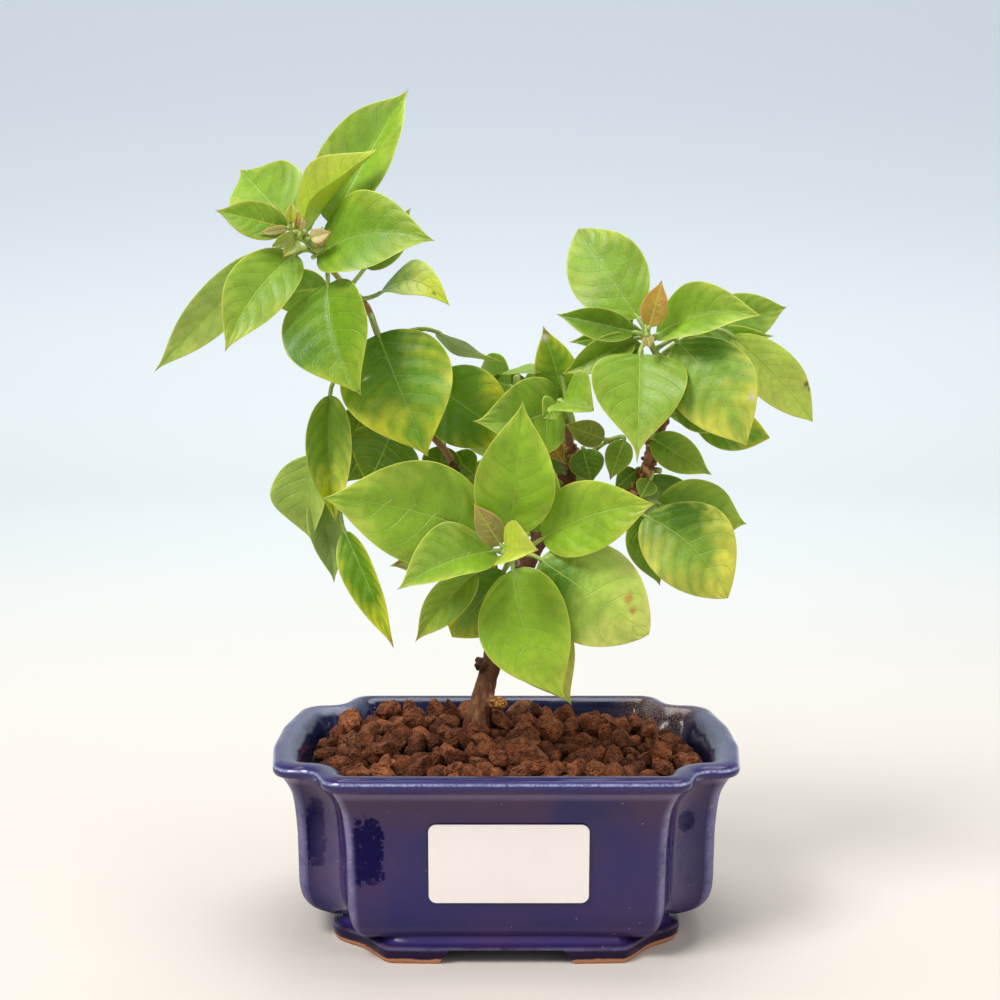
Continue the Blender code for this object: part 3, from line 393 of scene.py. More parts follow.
# The lip outside: a bead of deeper blue, a pale line below it and a painted highlight along it
outside = fade(inside, 0.5, 0.1)
body = blend(band(0.0464, 0.0495, 0.0005) * outside * 0.75, body, (34, 32, 92))
body = blend(band(0.0438, 0.0456, 0.0008) * outside * 0.45, body, (126, 112, 150))
lip_highlight = band(0.0481, 0.0486, 0.0003) * fade(dusty, 0.25, 0.7) * outside
body = blend(lip_highlight * 0.8, body, (176, 182, 212))
# A painted highlight along the edge over the feet
body = blend(band(0.0037, 0.0042, 0.0004) * fade(patches, 0.3, 0.6) * 0.45, body, (130, 124, 168))
# The lip inside: matt and dusty over the end lobes, with golden dust on the right back one
lip_top = fade(height, 0.0472, 0.0494) * inside
lobes = fade(abs(across - 0.0067), 0.038, 0.05)
thin_line = fade(height, 0.0484, 0.0494) * inside * 0.14
golden_gap = away_from(place, (0.053, 0.026, 0.049))
clean_there = fade(golden_gap, 0.008, 0.024, 0.3, 1.0)
matte = maths("MAXIMUM", lip_top * fade(lobes, 0.0, 1.0, 0.04, 0.8), thin_line) * clean_there
body = blend(matte, body, (98, 106, 130))
dusted = maths("MAXIMUM", lip_top * fade(lobes, 0.0, 1.0, 0.3, 1.0), worn)
dust = fade(dusty, 0.5, 0.68) * dusted * clean_there
body = blend(dust * 0.45, body, (158, 150, 150))
ochre = fade(golden_gap, 0.019, 0.004) * fade(grain(place, 2800, 4, 0.7), 0.48, 0.6)
body = blend(ochre * inside, body, (150, 112, 60))
specks = fade(node("TexVoronoi", {"Vector": place, "Scale": 420}, "Distance"), 0.1, 0.03)
body = blend(specks * fade(grain(place, 60), 0.5, 0.64) * 0.75, body, (196, 186, 190))
bare = fade(height + patches * 0.0016, 0.0024, 0.0019)
body = blend(bare, body, blend(patches, (176, 108, 76), (214, 152, 116)))
feed(shader, "Base Color", body)
rough = fade(patches, 0.35, 0.75, 0.1, 0.26) + dust * 0.3 + matte * 0.35
feed(shader, "Roughness", maths("ADD", rough, bare * 0.6, use_clamp=True))
mirrorless = maths("MAXIMUM", painted_reflections * 0.85, fade(height, 0.0095, 0.0075, 0.0, 0.7))
feed(shader, "Specular IOR Level", (1.0 - mirrorless) * 0.4)
relief(shader, grain(place, 60, 2) + patches * 0.12, 0.0006, 0.6)

pot = loft("pot_glazed", wall_rings, [glaze])
store_colour(pot, "pot_marks", pot_marks[corner_points(pot)], "CORNER")


def ease_ring(ring, times):
    """Cuts each corner of a closed ring at a quarter and three quarters of its sides."""
    for _ in range(times):
        following = np.roll(ring, -1, axis=0)
        ring = np.stack([ring * 0.75 + following * 0.25, ring * 0.25 + following * 0.75], 1).reshape(-1, 2)
    return ring


def block(name, half_low, half_top, half_y):
    """Cutter from below the feet to their tops, centred on the pot. half_low and half_top are its
    half lengths in x at its bottom and top, and half_y is its half depth."""
    rings = []
    for half_x, level in ((half_low, BELOW), (half_top, FOOT_HEIGHT)):
        corners = np.array([(-half_x, -half_y), (half_x, -half_y), (half_x, half_y), (-half_x, half_y)])
        rings.append(raised(POT_CENTRE + corners, level))
    return loft(name, rings, [glaze])


quarter = np.array(BASE_CORNERS)
base_plan = np.vstack([quarter * (1, -1), quarter[::-1], quarter * (-1, 1), quarter[::-1] * (-1, -1)])
base_plan = ease_ring(base_plan, 2)
base = loft("base", [raised(POT_CENTRE + base_plan * share, z) for z, share in BASE_ROWS], [glaze])
cut(base, block("foot_core", FOOT_CORE[0], FOOT_CORE[0], FOOT_CORE[1]))
cut(base, block("front_gap", FEET_GAP_LOW, FEET_GAP_TOP, BEYOND))
cut(base, block("side_gap", BEYOND, BEYOND, SIDE_GAP))
store_colour(base, "pot_marks", np.zeros((len(base.data.loops), 3)), "CORNER")
cut(pot, base, "UNION")
turns = np.linspace(0, 2 * math.pi, 48, endpoint=False)
circle = DRAIN_HOLE_RADIUS * np.column_stack([np.cos(turns), np.sin(turns)])
for side in (-1, 1):
    plan = POT_CENTRE + (side * DRAIN_HOLE_X, 0) + circle
    cut(pot, loft("drain", [raised(plan, z) for z in DRAIN_CUT], [glaze]))
pot.data.set_sharp_from_angle(angle=math.radians(38))
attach(pot, "root")
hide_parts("pot")

# Drainage screens: two squares of woven black plastic mesh, laid loose over the holes in the floor.
screen_plastic, shader, place = new_look("screen_plastic", 0.55)
scuffs = grain(place, 1400, 5)
feed(shader, "Base Color", blend(scuffs, (28, 29, 30), (62, 62, 60)))
relief(shader, scuffs, 0.00006)
for name in ("drain_screen_left", "drain_screen_right"):
    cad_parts[name].data.materials.clear()
    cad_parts[name].data.materials.append(screen_plastic)

# Soil: loose lava grit, 3 to 8 mm, poured in level at the rim and heaped a little round the trunk.
# A coarse bed fills the pot, and angular porous stones lie on it.
TRUNK_FOOT = np.array([-7.8, 12.2])
RIM_LEVEL, HEAP_HEIGHT = 43.2, 6.0
HEAP_CENTRE, HEAP_SPREAD = (-10.0, 16.0), (40.0, 26.0)
# The bed lies under the stones, rises to a peak inside the trunk and clears the pot's wall and floor
BED_DROP, BED_PEAK = 2.4, 46.5
BED_SHARES = (0.25, 0.5, 0.7, 0.85, 0.95, 1.0)
WALL_CLEARANCE, FLOOR_CLEARANCE = 0.5, 0.4
# Insets of the bed's and the stones' edges, and the rest of their ring as in the wall's rows
BED_INSET, STONES_INSET, SOIL_EDGE = 8.9, 9.3, (43.0, 1.0, 0.6)
GRAIN_PITCH, ROW_PITCH = 6.0, 5.22
SEATS_ACROSS, SEATS_DEEP = (-64, 64), (-46, 50)
TRUNK_ROOM = 3.4
# Layers of stones: jitter, least and most half length, lift over the ground, and how
# many half lengths they keep off the edge. A share of the seats hold an upper stone.
LOWER_STONES, SMALL_STONES = (1.4, 3.2, 4.6, -1.3, 0.75), (1.6, 1.8, 2.8, -1.2, 0.8)
UPPER_STONES, UPPER_SHARE = (2.2, 3.1, 4.8, 1.5, 0.9), 0.42
FACETS = 12


def ground(x, y):
    """Mean height of the grit: level by the walls and a soft heap round the trunk."""
    across = (x - HEAP_CENTRE[0]) / HEAP_SPREAD[0]
    back = (y - HEAP_CENTRE[1]) / HEAP_SPREAD[1]
    return RIM_LEVEL + HEAP_HEIGHT * np.exp(-across ** 2 - back ** 2)


def room_in(ring, points):
    """Distance from plan points to a ring's sides, negative outside it."""
    start = ring[None]
    side = np.roll(ring, -1, axis=0)[None] - start
    arm = points[:, None] - start
    share = np.clip((arm * side).sum(-1) / (side * side).sum(-1), 0, 1)
    gap = np.linalg.norm(arm - side * share[..., None], axis=-1).min(1)
    high = start[..., 1] > points[:, None, 1]
    next_high = (start + side)[..., 1] > points[:, None, 1]
    rise = np.where(side[..., 1] == 0, 1.0, side[..., 1])
    hit = start[..., 0] + side[..., 0] * (points[:, None, 1] - start[..., 1]) / rise
    crossed = (high != next_high) & (points[:, None, 0] < hit)
    return np.where(crossed.sum(1) % 2 == 1, gap, -gap)


def hash_noise(where, seed):
    """Smooth noise from -1 to 1: seeded values on a unit grid, blended by eased distance."""
    table = np.random.default_rng(seed).uniform(-1, 1, 4096)
    cell = np.floor(where).astype(np.int64)
    share = where - cell
    share = share * share * (3 - 2 * share)
    total = 0.0
    for corner in np.ndindex(2, 2, 2):
        key = (cell + corner) @ np.array([73856093, 19349663, 83492791])
        weight = np.prod(np.where(np.array(corner) == 1, share, 1 - share), axis=-1)
        total = total + table[np.abs(key) % 4096] * weight
    return total


lava, shader, place = new_look("lava_grit", 0.92, 0.25)
crumbs = grain(place, 430, 7, 0.75)
pores = node("TexVoronoi", {"Vector": place, "Scale": 1100}, "Distance")
# Painted shade darkens the pits of the crumbs' relief
body = blend(fade(crumbs, 0.52, 0.38) * 0.7, on_mesh(lava, "stone_tint_and_shade"), (44, 18, 8))
# Painted light on the crumbs' crests: steps past 255 are brighter than white
lit = blend(fade(crumbs, 0.54, 0.66) * 0.8, (255, 255, 255), (351, 329.7, 311.5))
feed(shader, "Base Color", blend(1.0, body, lit, "MULTIPLY"))
relief(shader, crumbs + fade(pores, 0.1, 0.45) * 0.5, 0.0022)

soil_rings = [wall_ring(row[0] + WALL_CLEARANCE, *row[1:]) for row in smooth_rows(INNER_WALL[3:], 2)]
soil_rings[-1][:, 2] = FLOOR_TOP + FLOOR_CLEARANCE
edge_plan = wall_ring(BED_INSET, *SOIL_EDGE)[:, :2]
bed_rings = []
for share in BED_SHARES:
    plan = part_way(TRUNK_FOOT, edge_plan, share)
    rough = hash_noise(raised(plan * 0.35, 0.0), 3)
    bed_rings.append(raised(plan, ground(*plan.T) - BED_DROP + 0.6 * rough))
bed_rings = np.stack(bed_rings + soil_rings)
rows, columns = bed_rings.shape[:2]
peak = rows * columns
index = closed(np.arange(peak).reshape(rows, columns))
bed_points = np.vstack([bed_rings.reshape(-1, 3), [(*TRUNK_FOOT, BED_PEAK)]])
fan = np.column_stack([np.full(columns, peak), index[0, :-1], index[0, 1:]])
bed_faces = [fan, quads(index)[:, ::-1], index[-1:, :-1]]

seeded = np.random.default_rng(11)
stones_edge = wall_ring(STONES_INSET, *SOIL_EDGE)[:, :2]
grid_x, grid_y = np.meshgrid(np.arange(*SEATS_ACROSS, GRAIN_PITCH), np.arange(*SEATS_DEEP, ROW_PITCH))
grid_x = grid_x + (np.arange(grid_x.shape[0]) % 2)[:, None] * GRAIN_PITCH / 2
seats = np.stack([grid_x.ravel(), grid_y.ravel()], 1)


def scatter(seats, jitter, low, high, lift, margin):
    """Stones on loosened seats, off the pot's edge and the trunk: place and half length."""
    plan = seats + seeded.uniform(-jitter, jitter, seats.shape)
    half = low + (high - low) * seeded.random(len(plan)) ** 1.6
    rise = lift + seeded.uniform(-0.7, 0.9, len(plan))
    off_trunk = np.linalg.norm(plan - TRUNK_FOOT, axis=1) > TRUNK_ROOM + half
    fits = (room_in(stones_edge, plan) > half * margin) & off_trunk
    plan, half, rise = plan[fits], half[fits], rise[fits]
    return np.column_stack([plan, ground(*plan.T) + rise, half])


stones = np.vstack([
    scatter(seats, *LOWER_STONES),
    scatter(seats + GRAIN_PITCH / 2, *SMALL_STONES),
    scatter(seats[seeded.random(len(seats)) < UPPER_SHARE] + 1.3, *UPPER_STONES),
])
ball = bmesh.new()
bmesh.ops.create_icosphere(ball, subdivisions=2, radius=1.0)
ball_points = np.array([v.co for v in ball.verts])
ball_faces = np.array([[v.index for v in face.verts] for face in ball.faces])
ball.free()


def turned(count):
    """Random right-handed axes, one set a stone."""
    axes, _ = np.linalg.qr(seeded.normal(size=(count, 3, 3)))
    return axes * np.where(np.linalg.det(axes) < 0, -1, 1)[:, None, None]


def stone_shapes(count):
    """Broken lumps: along each direction the nearest of several random planes, with a ripple on top."""
    planes = unit(seeded.normal(size=(count, FACETS, 3)))
    offsets = seeded.uniform(0.7, 1.0, (count, FACETS))
    facing = np.einsum("vc,npc->nvp", ball_points, planes)
    reach = np.where(facing > 0.15, offsets[:, None] / np.maximum(facing, 0.15), 2.0).min(-1)
    reach = np.minimum(reach, 1.25) * (1 + seeded.uniform(-0.09, 0.09, reach.shape))
    return ball_points[None] * reach[..., None]


count = len(stones)
shape = stone_shapes(count) * seeded.uniform((0.8, 0.62, 0.5), (1.05, 0.9, 0.75), (count, 3))[:, None]
shape = np.einsum("nvc,ncd->nvd", shape, turned(count)) * stones[:, None, 3:]
stone_points = (shape + stones[:, None, :3]).reshape(-1, 3)
starts = len(bed_points) + np.arange(count) * len(ball_points)
stone_faces = (ball_faces[None] + starts[:, None, None]).reshape(-1, 3)
rust = seeded.random((count, 1))
paler = (seeded.random((count, 1)) < 0.02) * seeded.random((count, 1))
tints = part_way(linear((112, 60, 34)), linear((154, 92, 56)), rust)
tints = part_way(tints, linear((150, 104, 74)), paler)
tints = np.repeat(tints * seeded.uniform(0.75, 1.15, (count, 1)), len(ball_points), axis=0)
# Painted light and shade: the tops of the stones are lighter and their undersides darker, by their height
# over the ground
stand = stone_points[:, 2] - ground(*stone_points[:, :2].T)
tints = tints * (0.2 + 0.95 * np.clip((stand + 2.6) / 4.2, 0, 1) ** 1.3)[:, None]
# The bed between and under the stones is nearly black, a painted shade in the gaps
tints = np.vstack([np.tile(linear((14, 6, 4)), (len(bed_points), 1)), tints])

soil = make_piece("lava_soil", np.vstack([bed_points, stone_points]), bed_faces + [stone_faces], [lava])
store_colour(soil, "stone_tint_and_shade", tints)
soil.data.set_sharp_from_angle(angle=math.radians(24))
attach(soil, "root")
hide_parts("soil")

# Trunk and branches: one piece of young wood, grey-brown bark below and darker flaking bark above,
# with pruned stubs and a knob of callus at the root. Laid out along sight lines from EYE.
EYE = np.array([-1.4, -399.0, 163.0])
EYE_TILT = math.radians(7.08)
EYE_REACH = 1520.0
AHEAD = np.array([0.0, math.cos(EYE_TILT), -math.sin(EYE_TILT)])
ABOVE = np.array([0.0, math.sin(EYE_TILT), math.cos(EYE_TILT)])
WOOD_SIDES = 20
WOOD_CELL = 0.34
# Measured from the part's own origin
KNOB_SPOT = (5.0, 0.6, 55.6)
STUB_SPOT = (-1.2, 2.5, 66.8)
# The trunk's foot, in the soil and just above it: x, y, z and radius
FOOT_ROUTE = [(-7.8, 12.2, 28, 3), (-7.8, 12.2, 40, 4), (-7.7, 12.2, 47, 4.3), (-7.5, 12.2, 53, 3.8)]
# Rows of every route: u to the right and v up per EYE_REACH ahead, depth y, radius
TRUNK_ROUTE = [
    (-23, -222, 12, 3.7), (-19, -204, 12, 3.3), (-13, -180, 12, 2.9), (-7, -155, 12, 2.8), (1, -112, 11, 2.7),
    (18, -80, 10, 2.7), (37, -45, 11, 2.3), (56, -12, 13, 1.9), (70, 19, 14, 1.6), (71, 36, 14, 1.5),
]
BRANCH_ROUTES = [
    [(0, -104, 10.5, 1.8), (-13, -45, 8.5, 1.5), (-30, 0, 7.5, 1.3), (-41, 23, 7, 1.15), (-48, 37, 7, 1.1)],
    [(40, -40, 11.5, 1.8), (75, -20, 12, 1.6), (108, -9, 10.5, 1.6), (130, 1, 8.5, 1.6)],
    [(12, -88, 10, 1.7), (16, -74, 4, 1.4), (16, -64, -5, 1.2)],
    [(37, -45, 11, 1.7), (32, 0, 18, 1.4), (26, 40, 24, 1.2)],
    [(-9, -158, 12, 1.8), (-16, -163, 10.8, 1.9), (-23, -165, 10, 1.6)],
    [(70, 17, 14, 1), (66, 20, 12.5, 0.9), (59, 25, 11, 0.8)],
    [(-14, -203, 10.5, 1.2), (-3, -202, 9, 1.8), (5, -206, 8.5, 1.7)],
]


def at(u, v, y):
    """Points at depth y on the sight lines that run u to the right and v up."""
    u, v, y = [np.asarray(value, float)[..., None] for value in (u, v, y)]
    ray = AHEAD * EYE_REACH + np.array([1.0, 0.0, 0.0]) * u + ABOVE * v
    return EYE + ray * ((y - EYE[1]) / ray[..., 1:2])


def route(rows):
    """Rows of (u, v, y, radius) as rows of (x, y, z, radius)."""
    rows = np.asarray(rows, float)
    return np.column_stack([at(*rows[:, :3].T), rows[:, 3]])


def tube(path, radii, sides):
    """Closed tube: a ring of points square to the path at each of its points, drawn in to a point
    at both ends. radii holds one radius a ring, or one a point."""
    ahead = unit(np.gradient(path, axis=0))
    side = unit(np.cross(ahead, np.eye(3)[np.argmin(np.abs(ahead).max(0))]))
    other = np.cross(ahead, side)
    turn = np.linspace(0, 2 * math.pi, sides, endpoint=False)
    spoke = np.cos(turn)[:, None] * side[:, None] + np.sin(turn)[:, None] * other[:, None]
    radii = np.broadcast_to(np.asarray(radii, float).reshape(len(path), -1), (len(path), sides))
    rings = path[:, None] + spoke * radii[..., None]
    count = len(path) * sides
    index = closed(np.arange(count).reshape(len(path), sides))
    ends = path[[0, -1]] + ahead[[0, -1]] * radii[[0, -1], :1] * [[-0.45], [0.45]]
    points = np.vstack([rings.reshape(-1, 3), ends])
    first = np.column_stack([index[0, 1:], index[0, :-1], np.full(sides, count)])
    last = np.column_stack([index[-1, :-1], index[-1, 1:], np.full(sides, count + 1)])
    return points, quads(index), np.vstack([first, last])


def gather(parts):
    """Several sets of points, quads and triangles as one set."""
    starts = np.cumsum([0] + [len(part[0]) for part in parts])
    faces = [np.vstack([part[kind] + start for part, start in zip(parts, starts)]) for kind in (1, 2)]
    return np.vstack([part[0] for part in parts]), *faces


bark, shader, place = new_look("bark", 0.78, 0.3)
height = split(place)[2]
streaks = grain(node("Mapping", {"Vector": place, "Scale": (1.0, 1.0, 0.28)}), 900, 5, 0.65)
patches = grain(place, 230, 4, 0.6)
body = blend(fade(streaks, 0.34, 0.68), (106, 66, 40), (168, 124, 88))
body = blend(fade(patches, 0.42, 0.6, 0.0, 0.5), body, (110, 66, 44))
upper = fade(height + patches * 0.008, 0.0625, 0.0665)
body = blend(upper * 0.85, body, blend(patches, (48, 24, 16), (112, 66, 38)))
damp = fade(height, 0.056, 0.050) * fade(patches, 0.35, 0.5)
body = blend(damp * 0.7, body, (92, 34, 16))
stub_gap, knob_gap = [
    away_from(place, [value * 0.001 for value in spot]) for spot in (STUB_SPOT, KNOB_SPOT)
]
stub_dark = fade(stub_gap, 0.0036, 0.0022) * fade(patches, 0.3, 0.5)
body = blend(stub_dark * 0.75, body, (42, 22, 14))
callus = fade(knob_gap + patches * 0.002, 0.0042, 0.0034) * fade(streaks, 0.36, 0.5)
golden = blend(fade(grain(place, 1500), 0.42, 0.58), (112, 58, 22), (214, 152, 78))
feed(shader, "Base Color", blend(callus, body, golden))
relief(shader, streaks + grain(place, 2600, 4) * 0.35, 0.0004)

wood_parts = []
for line in [np.array(FOOT_ROUTE)] + [route(rows) for rows in [TRUNK_ROUTE] + BRANCH_ROUTES]:
    line = smooth_rows(line, 8)
    wood_parts.append(tube(line[:, :3], line[:, 3], WOOD_SIDES))
points, *faces = gather(wood_parts)
wood = make_piece("bark_wood", points, faces, [bark])
remesh = wood.modifiers.new("one_skin", "REMESH")
remesh.mode = "VOXEL"
remesh.voxel_size = WOOD_CELL * 0.001
ease = wood.modifiers.new("ease", "SMOOTH")
ease.iterations = 5
finished(wood)


def wood_lumps(spots):
    """Coarse grains on the root's knob, and a ragged end on the cut stub."""
    near = np.exp(-(np.linalg.norm(spots - KNOB_SPOT, axis=1) / 2.8) ** 4)
    cut_end = np.exp(-(np.linalg.norm(spots - STUB_SPOT, axis=1) / 3.0) ** 4)
    grains = 0.9 * np.abs(hash_noise(spots * 1.2, 31)) - 0.2
    return near * grains + cut_end * (1.1 * hash_noise(spots * 0.9, 32) - 0.2)


# The finished skin moves along its normals: slow swellings, ridges that run up the wood, and flakes
where, facing = np.zeros((2, len(wood.data.vertices) * 3))
wood.data.vertices.foreach_get("co", where)
wood.data.vertices.foreach_get("normal", facing)
where, facing = where.reshape(-1, 3), facing.reshape(-1, 3)
spots = where * 1000
ridges = 1 - np.abs(hash_noise(spots * (1.1, 1.1, 0.32), 21))
push = 0.16 * hash_noise(spots * 0.45, 22) + 0.08 * ridges ** 2
push = push + 0.09 * hash_noise(spots * 1.9, 23) + wood_lumps(spots)
wood.data.vertices.foreach_set("co", (where + facing * (push[:, None] - 0.08) * 0.001).ravel())
wood.data.update()
wood.data.polygons.foreach_set("use_smooth", np.ones(len(wood.data.polygons), bool))
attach(wood, "root")
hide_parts("trunk_and_branches")

# Leafy stems: soft green-barked stems with leaves on round stalks. Each leaf is a thin egg-shaped
# blade with a drawn-out tip, folded along a pale midrib, its side veins arching forward to a pale
# margin. The blades grow from their stalks, and the stalks from swollen joints on the stem.
BLADE_THICKNESS = 0.34
RIB_BULGE, GROOVE_DEPTH = 0.34, 0.16
# Rows and columns of a blade that is longer than the length given first
BLADE_GRIDS = ((24, (60, 25)), (14, (40, 17)), (0, (26, 11)))
VEINS = 7.0
UV_SPAN = 50.0
STEM_SIDES, STALK_SIDES, FLAKE_SIDES = 12, 8, 5
STALK_RADIUS = 0.6
# Thickness along the stalk: the place among its rings and the share of its radius
STALK_TAPER = ((0, 1.2, 8, 11), (1.5, 1.05, 0.95, 0.35))
# A bark flake's bend: how far out of the bark, how far along it and how thick, as shares of its size
FLAKE_BEND = np.array([(0, -0.6, 0.35), (0.7, 0, 0.6), (1, 0.5, 0.5), (0.6, 1, 0.2)])
FLAKE_COUNT = 90
FLAKE_TONES = ((176, 116, 66), (132, 78, 42), (200, 150, 96))
YOUNG_BARK, GREEN_BARK, RIPE_BARK, STALK_TONE = (176, 126, 90), (168, 186, 88), (146, 98, 66), (164, 190, 88)
# Finish of a leaf: its middle tone, its edge tone, how far the edge tone reaches, its puckering
LEAF_LOOKS = {
    "green": ((126, 172, 28), (198, 212, 70), 0.85, 0.2),
    "fresh": ((142, 182, 42), (204, 214, 86), 0.9, 0.2),
    "bright": ((156, 200, 38), (212, 222, 80), 0.9, 0.18),
    "deep": ((106, 148, 24), (168, 190, 50), 0.8, 0.16),
    "pale": ((172, 200, 90), (216, 224, 120), 0.9, 0.1),
    "turning": ((116, 166, 26), (228, 226, 54), 1.3, 0.32),
    "ripe": ((148, 186, 64), (240, 234, 96), 1.3, 0.36),
    # Underside tone, lightened further as painted light and sheen
    "under": ((164, 192, 118), (202, 214, 112), 0.7, 0.1),
    # Painted light: a much lighter look for a leaf in the shade of others
    "sunlit": ((218, 240, 106), (246, 244, 124), 0.9, 0.2),
    # A pale, yellowing leaf, with its tones raised as painted light
    "faded_and_lit": ((184, 214, 86), (240, 238, 126), 1.1, 0.24),
    "lime": ((204, 222, 72), (232, 232, 108), 0.9, 0.1),
    "olive": ((138, 156, 44), (176, 172, 66), 0.8, 0.06),
    "rust": ((196, 158, 60), (200, 118, 64), 1.0, 0.12),
    "blush": ((160, 152, 76), (184, 138, 92), 0.9, 0.05),
    "bud": ((240, 226, 168), (232, 188, 150), 0.8, 0.03),
}
BACK_TINT = (176, 204, 70)
# Tones of the marks: brown, white, dark and orange spots, then painted light, painted shade, a painted glow
# and a vivid yellow-green
BROWN, WHITE, DARK, ORANGE = (130, 84, 50), (236, 226, 200), (48, 44, 20), (204, 136, 60)
PAINTED_LIGHT, SHADE, PAINTED_GLOW, VIVID = (206, 218, 36), (90, 140, 22), (240, 236, 110), (244, 252, 64)


class Leaf:
    """One blade. t runs from 0 at its base to 1 at its tip, q from -1 to 1 across it.

    A row holds a look, base u, v, y, tip u, v, y, width, turn and fold in degrees and arch, then bend
    and bluntness where they aren't nought. marks are (t, q, radius in millimetres, tone)."""

    def __init__(self, row, phase, seed, marks):
        self.tones = [linear(shade) for shade in LEAF_LOOKS[row[0]][:2]]
        self.reach, self.pucker = LEAF_LOOKS[row[0]][2:]
        self.base, self.tip = at(*row[1:4]), at(*row[4:7])
        self.width, turn, self.fold, self.arch, self.bend, self.blunt = [*row[7:], 0, 0][:6]
        self.phase, self.seed, self.marks = phase, seed, marks
        self.length = np.linalg.norm(self.tip - self.base)
        # Axes along, across and out of the blade, which faces EYE before it is turned about its length
        self.along = (self.tip - self.base) / self.length
        toward = EYE - (self.base + self.tip) / 2
        out = unit(toward - self.along * (toward @ self.along))
        across = np.cross(self.along, out)
        c, s = math.cos(math.radians(turn)), math.sin(math.radians(turn))
        self.across, self.out = across * c - out * s, out * c + across * s

    def half_width(self, t):
        """Half width at t: egg shaped with a drawn-out tip at bluntness 0, an even oval at 1."""
        t = np.clip(t, 0, 1)
        bulge = np.clip(np.sin(math.pi * t ** (0.716 + 0.2 * self.blunt)), 0, 1)
        return 0.5 * self.width * bulge ** (0.72 - 0.08 * self.blunt + 0.75 * (1 - self.blunt) * t ** 3)

    def veins_passed(self, t, q):
        """Count of side veins passed at t and q: veins arch forward as they near the margin."""
        reach = np.abs(q)
        return (t - 0.15 * reach - 0.12 * reach ** 3) * VEINS + np.where(q > 0, 0.35, 0.0) + self.phase

    def vein_wave(self, t, q):
        """Wave from 1 on the side veins to -1 half way between them."""
        return np.cos(2 * math.pi * (self.veins_passed(t, q) - 0.5))

    def surface(self, t, q):
        """Middle of the blade: along it by t, across it by q of the half width, folded up at the
        midrib, bowed by arch, swept by bend, sunk along its veins and waved toward the margin."""
        bow = 4 * t * (1 - t)
        half = self.half_width(t)
        side = half * q
        angle = math.radians(self.fold)
        wave = 0.07 * half * np.sin(2 * math.pi * 1.6 * t + self.phase + np.where(q > 0, 1.7, 0.0)) * q * q
        soft = np.sqrt(side * side + 0.35) - math.sqrt(0.35)
        quilt = self.pucker * self.vein_wave(t, q)
        quilt = quilt * np.abs(q) ** 0.6 * (1 - q * q) * np.minimum(1, 6 * bow)
        lift = soft * math.sin(angle) + self.arch * self.length * bow + wave - quilt
        spread = side * math.cos(angle) + self.bend * self.length * bow
        spine = self.base + self.along * (self.length * t)[..., None]
        return spine + self.across * spread[..., None] + self.out * lift[..., None]

    def normals(self, t, q):
        """Unit normals from steps along and across the surface, on the side that out points to."""
        down = self.surface(np.minimum(t + 0.01, 0.995), q) - self.surface(np.maximum(t - 0.01, 0.005), q)
        across = self.surface(t, np.minimum(q + 0.04, 1)) - self.surface(t, np.maximum(q - 0.04, -1))
        normal = unit(np.cross(down, across))
        return normal * np.where(normal @ self.out < 0, -1, 1)[..., None]

    def tints(self, t, q):
        """The middle tone, the edge tone toward margin, tip and between veins, then the round marks."""
        middle, edge = self.tones
        side = self.half_width(t) * q
        spots = np.stack([t * self.length, side, np.full(t.shape, 3.7 * self.seed)], -1)
        cloud = hash_noise(spots * 0.13, 5) + 0.6 * hash_noise(spots * 0.36, 8)
        share = 0.45 * np.abs(q) ** 2.5 + 0.75 * t ** 2.2 - 0.18 + 0.36 * cloud
        share = share - 0.16 * self.vein_wave(t, q) * np.abs(q) - 0.2 * np.exp(-(side / 1.4) ** 2)
        tint = part_way(middle, edge, np.clip(self.reach * share, 0, 1)[..., None])
        tint = tint * (1 + 0.16 * hash_noise(spots * 0.25, 6)[..., None])
        for mark_t, mark_q, radius, shade in self.marks:
            centre = (mark_t * self.length, mark_q * self.half_width(mark_t))
            gap = np.linalg.norm(spots[..., :2] - centre, axis=-1) / radius
            gap = gap * (1 + 0.35 * hash_noise(spots * 0.9, 7))
            tint = part_way(tint, linear(shade), np.clip(1.6 - 1.6 * gap, 0, 1)[..., None])
        return tint


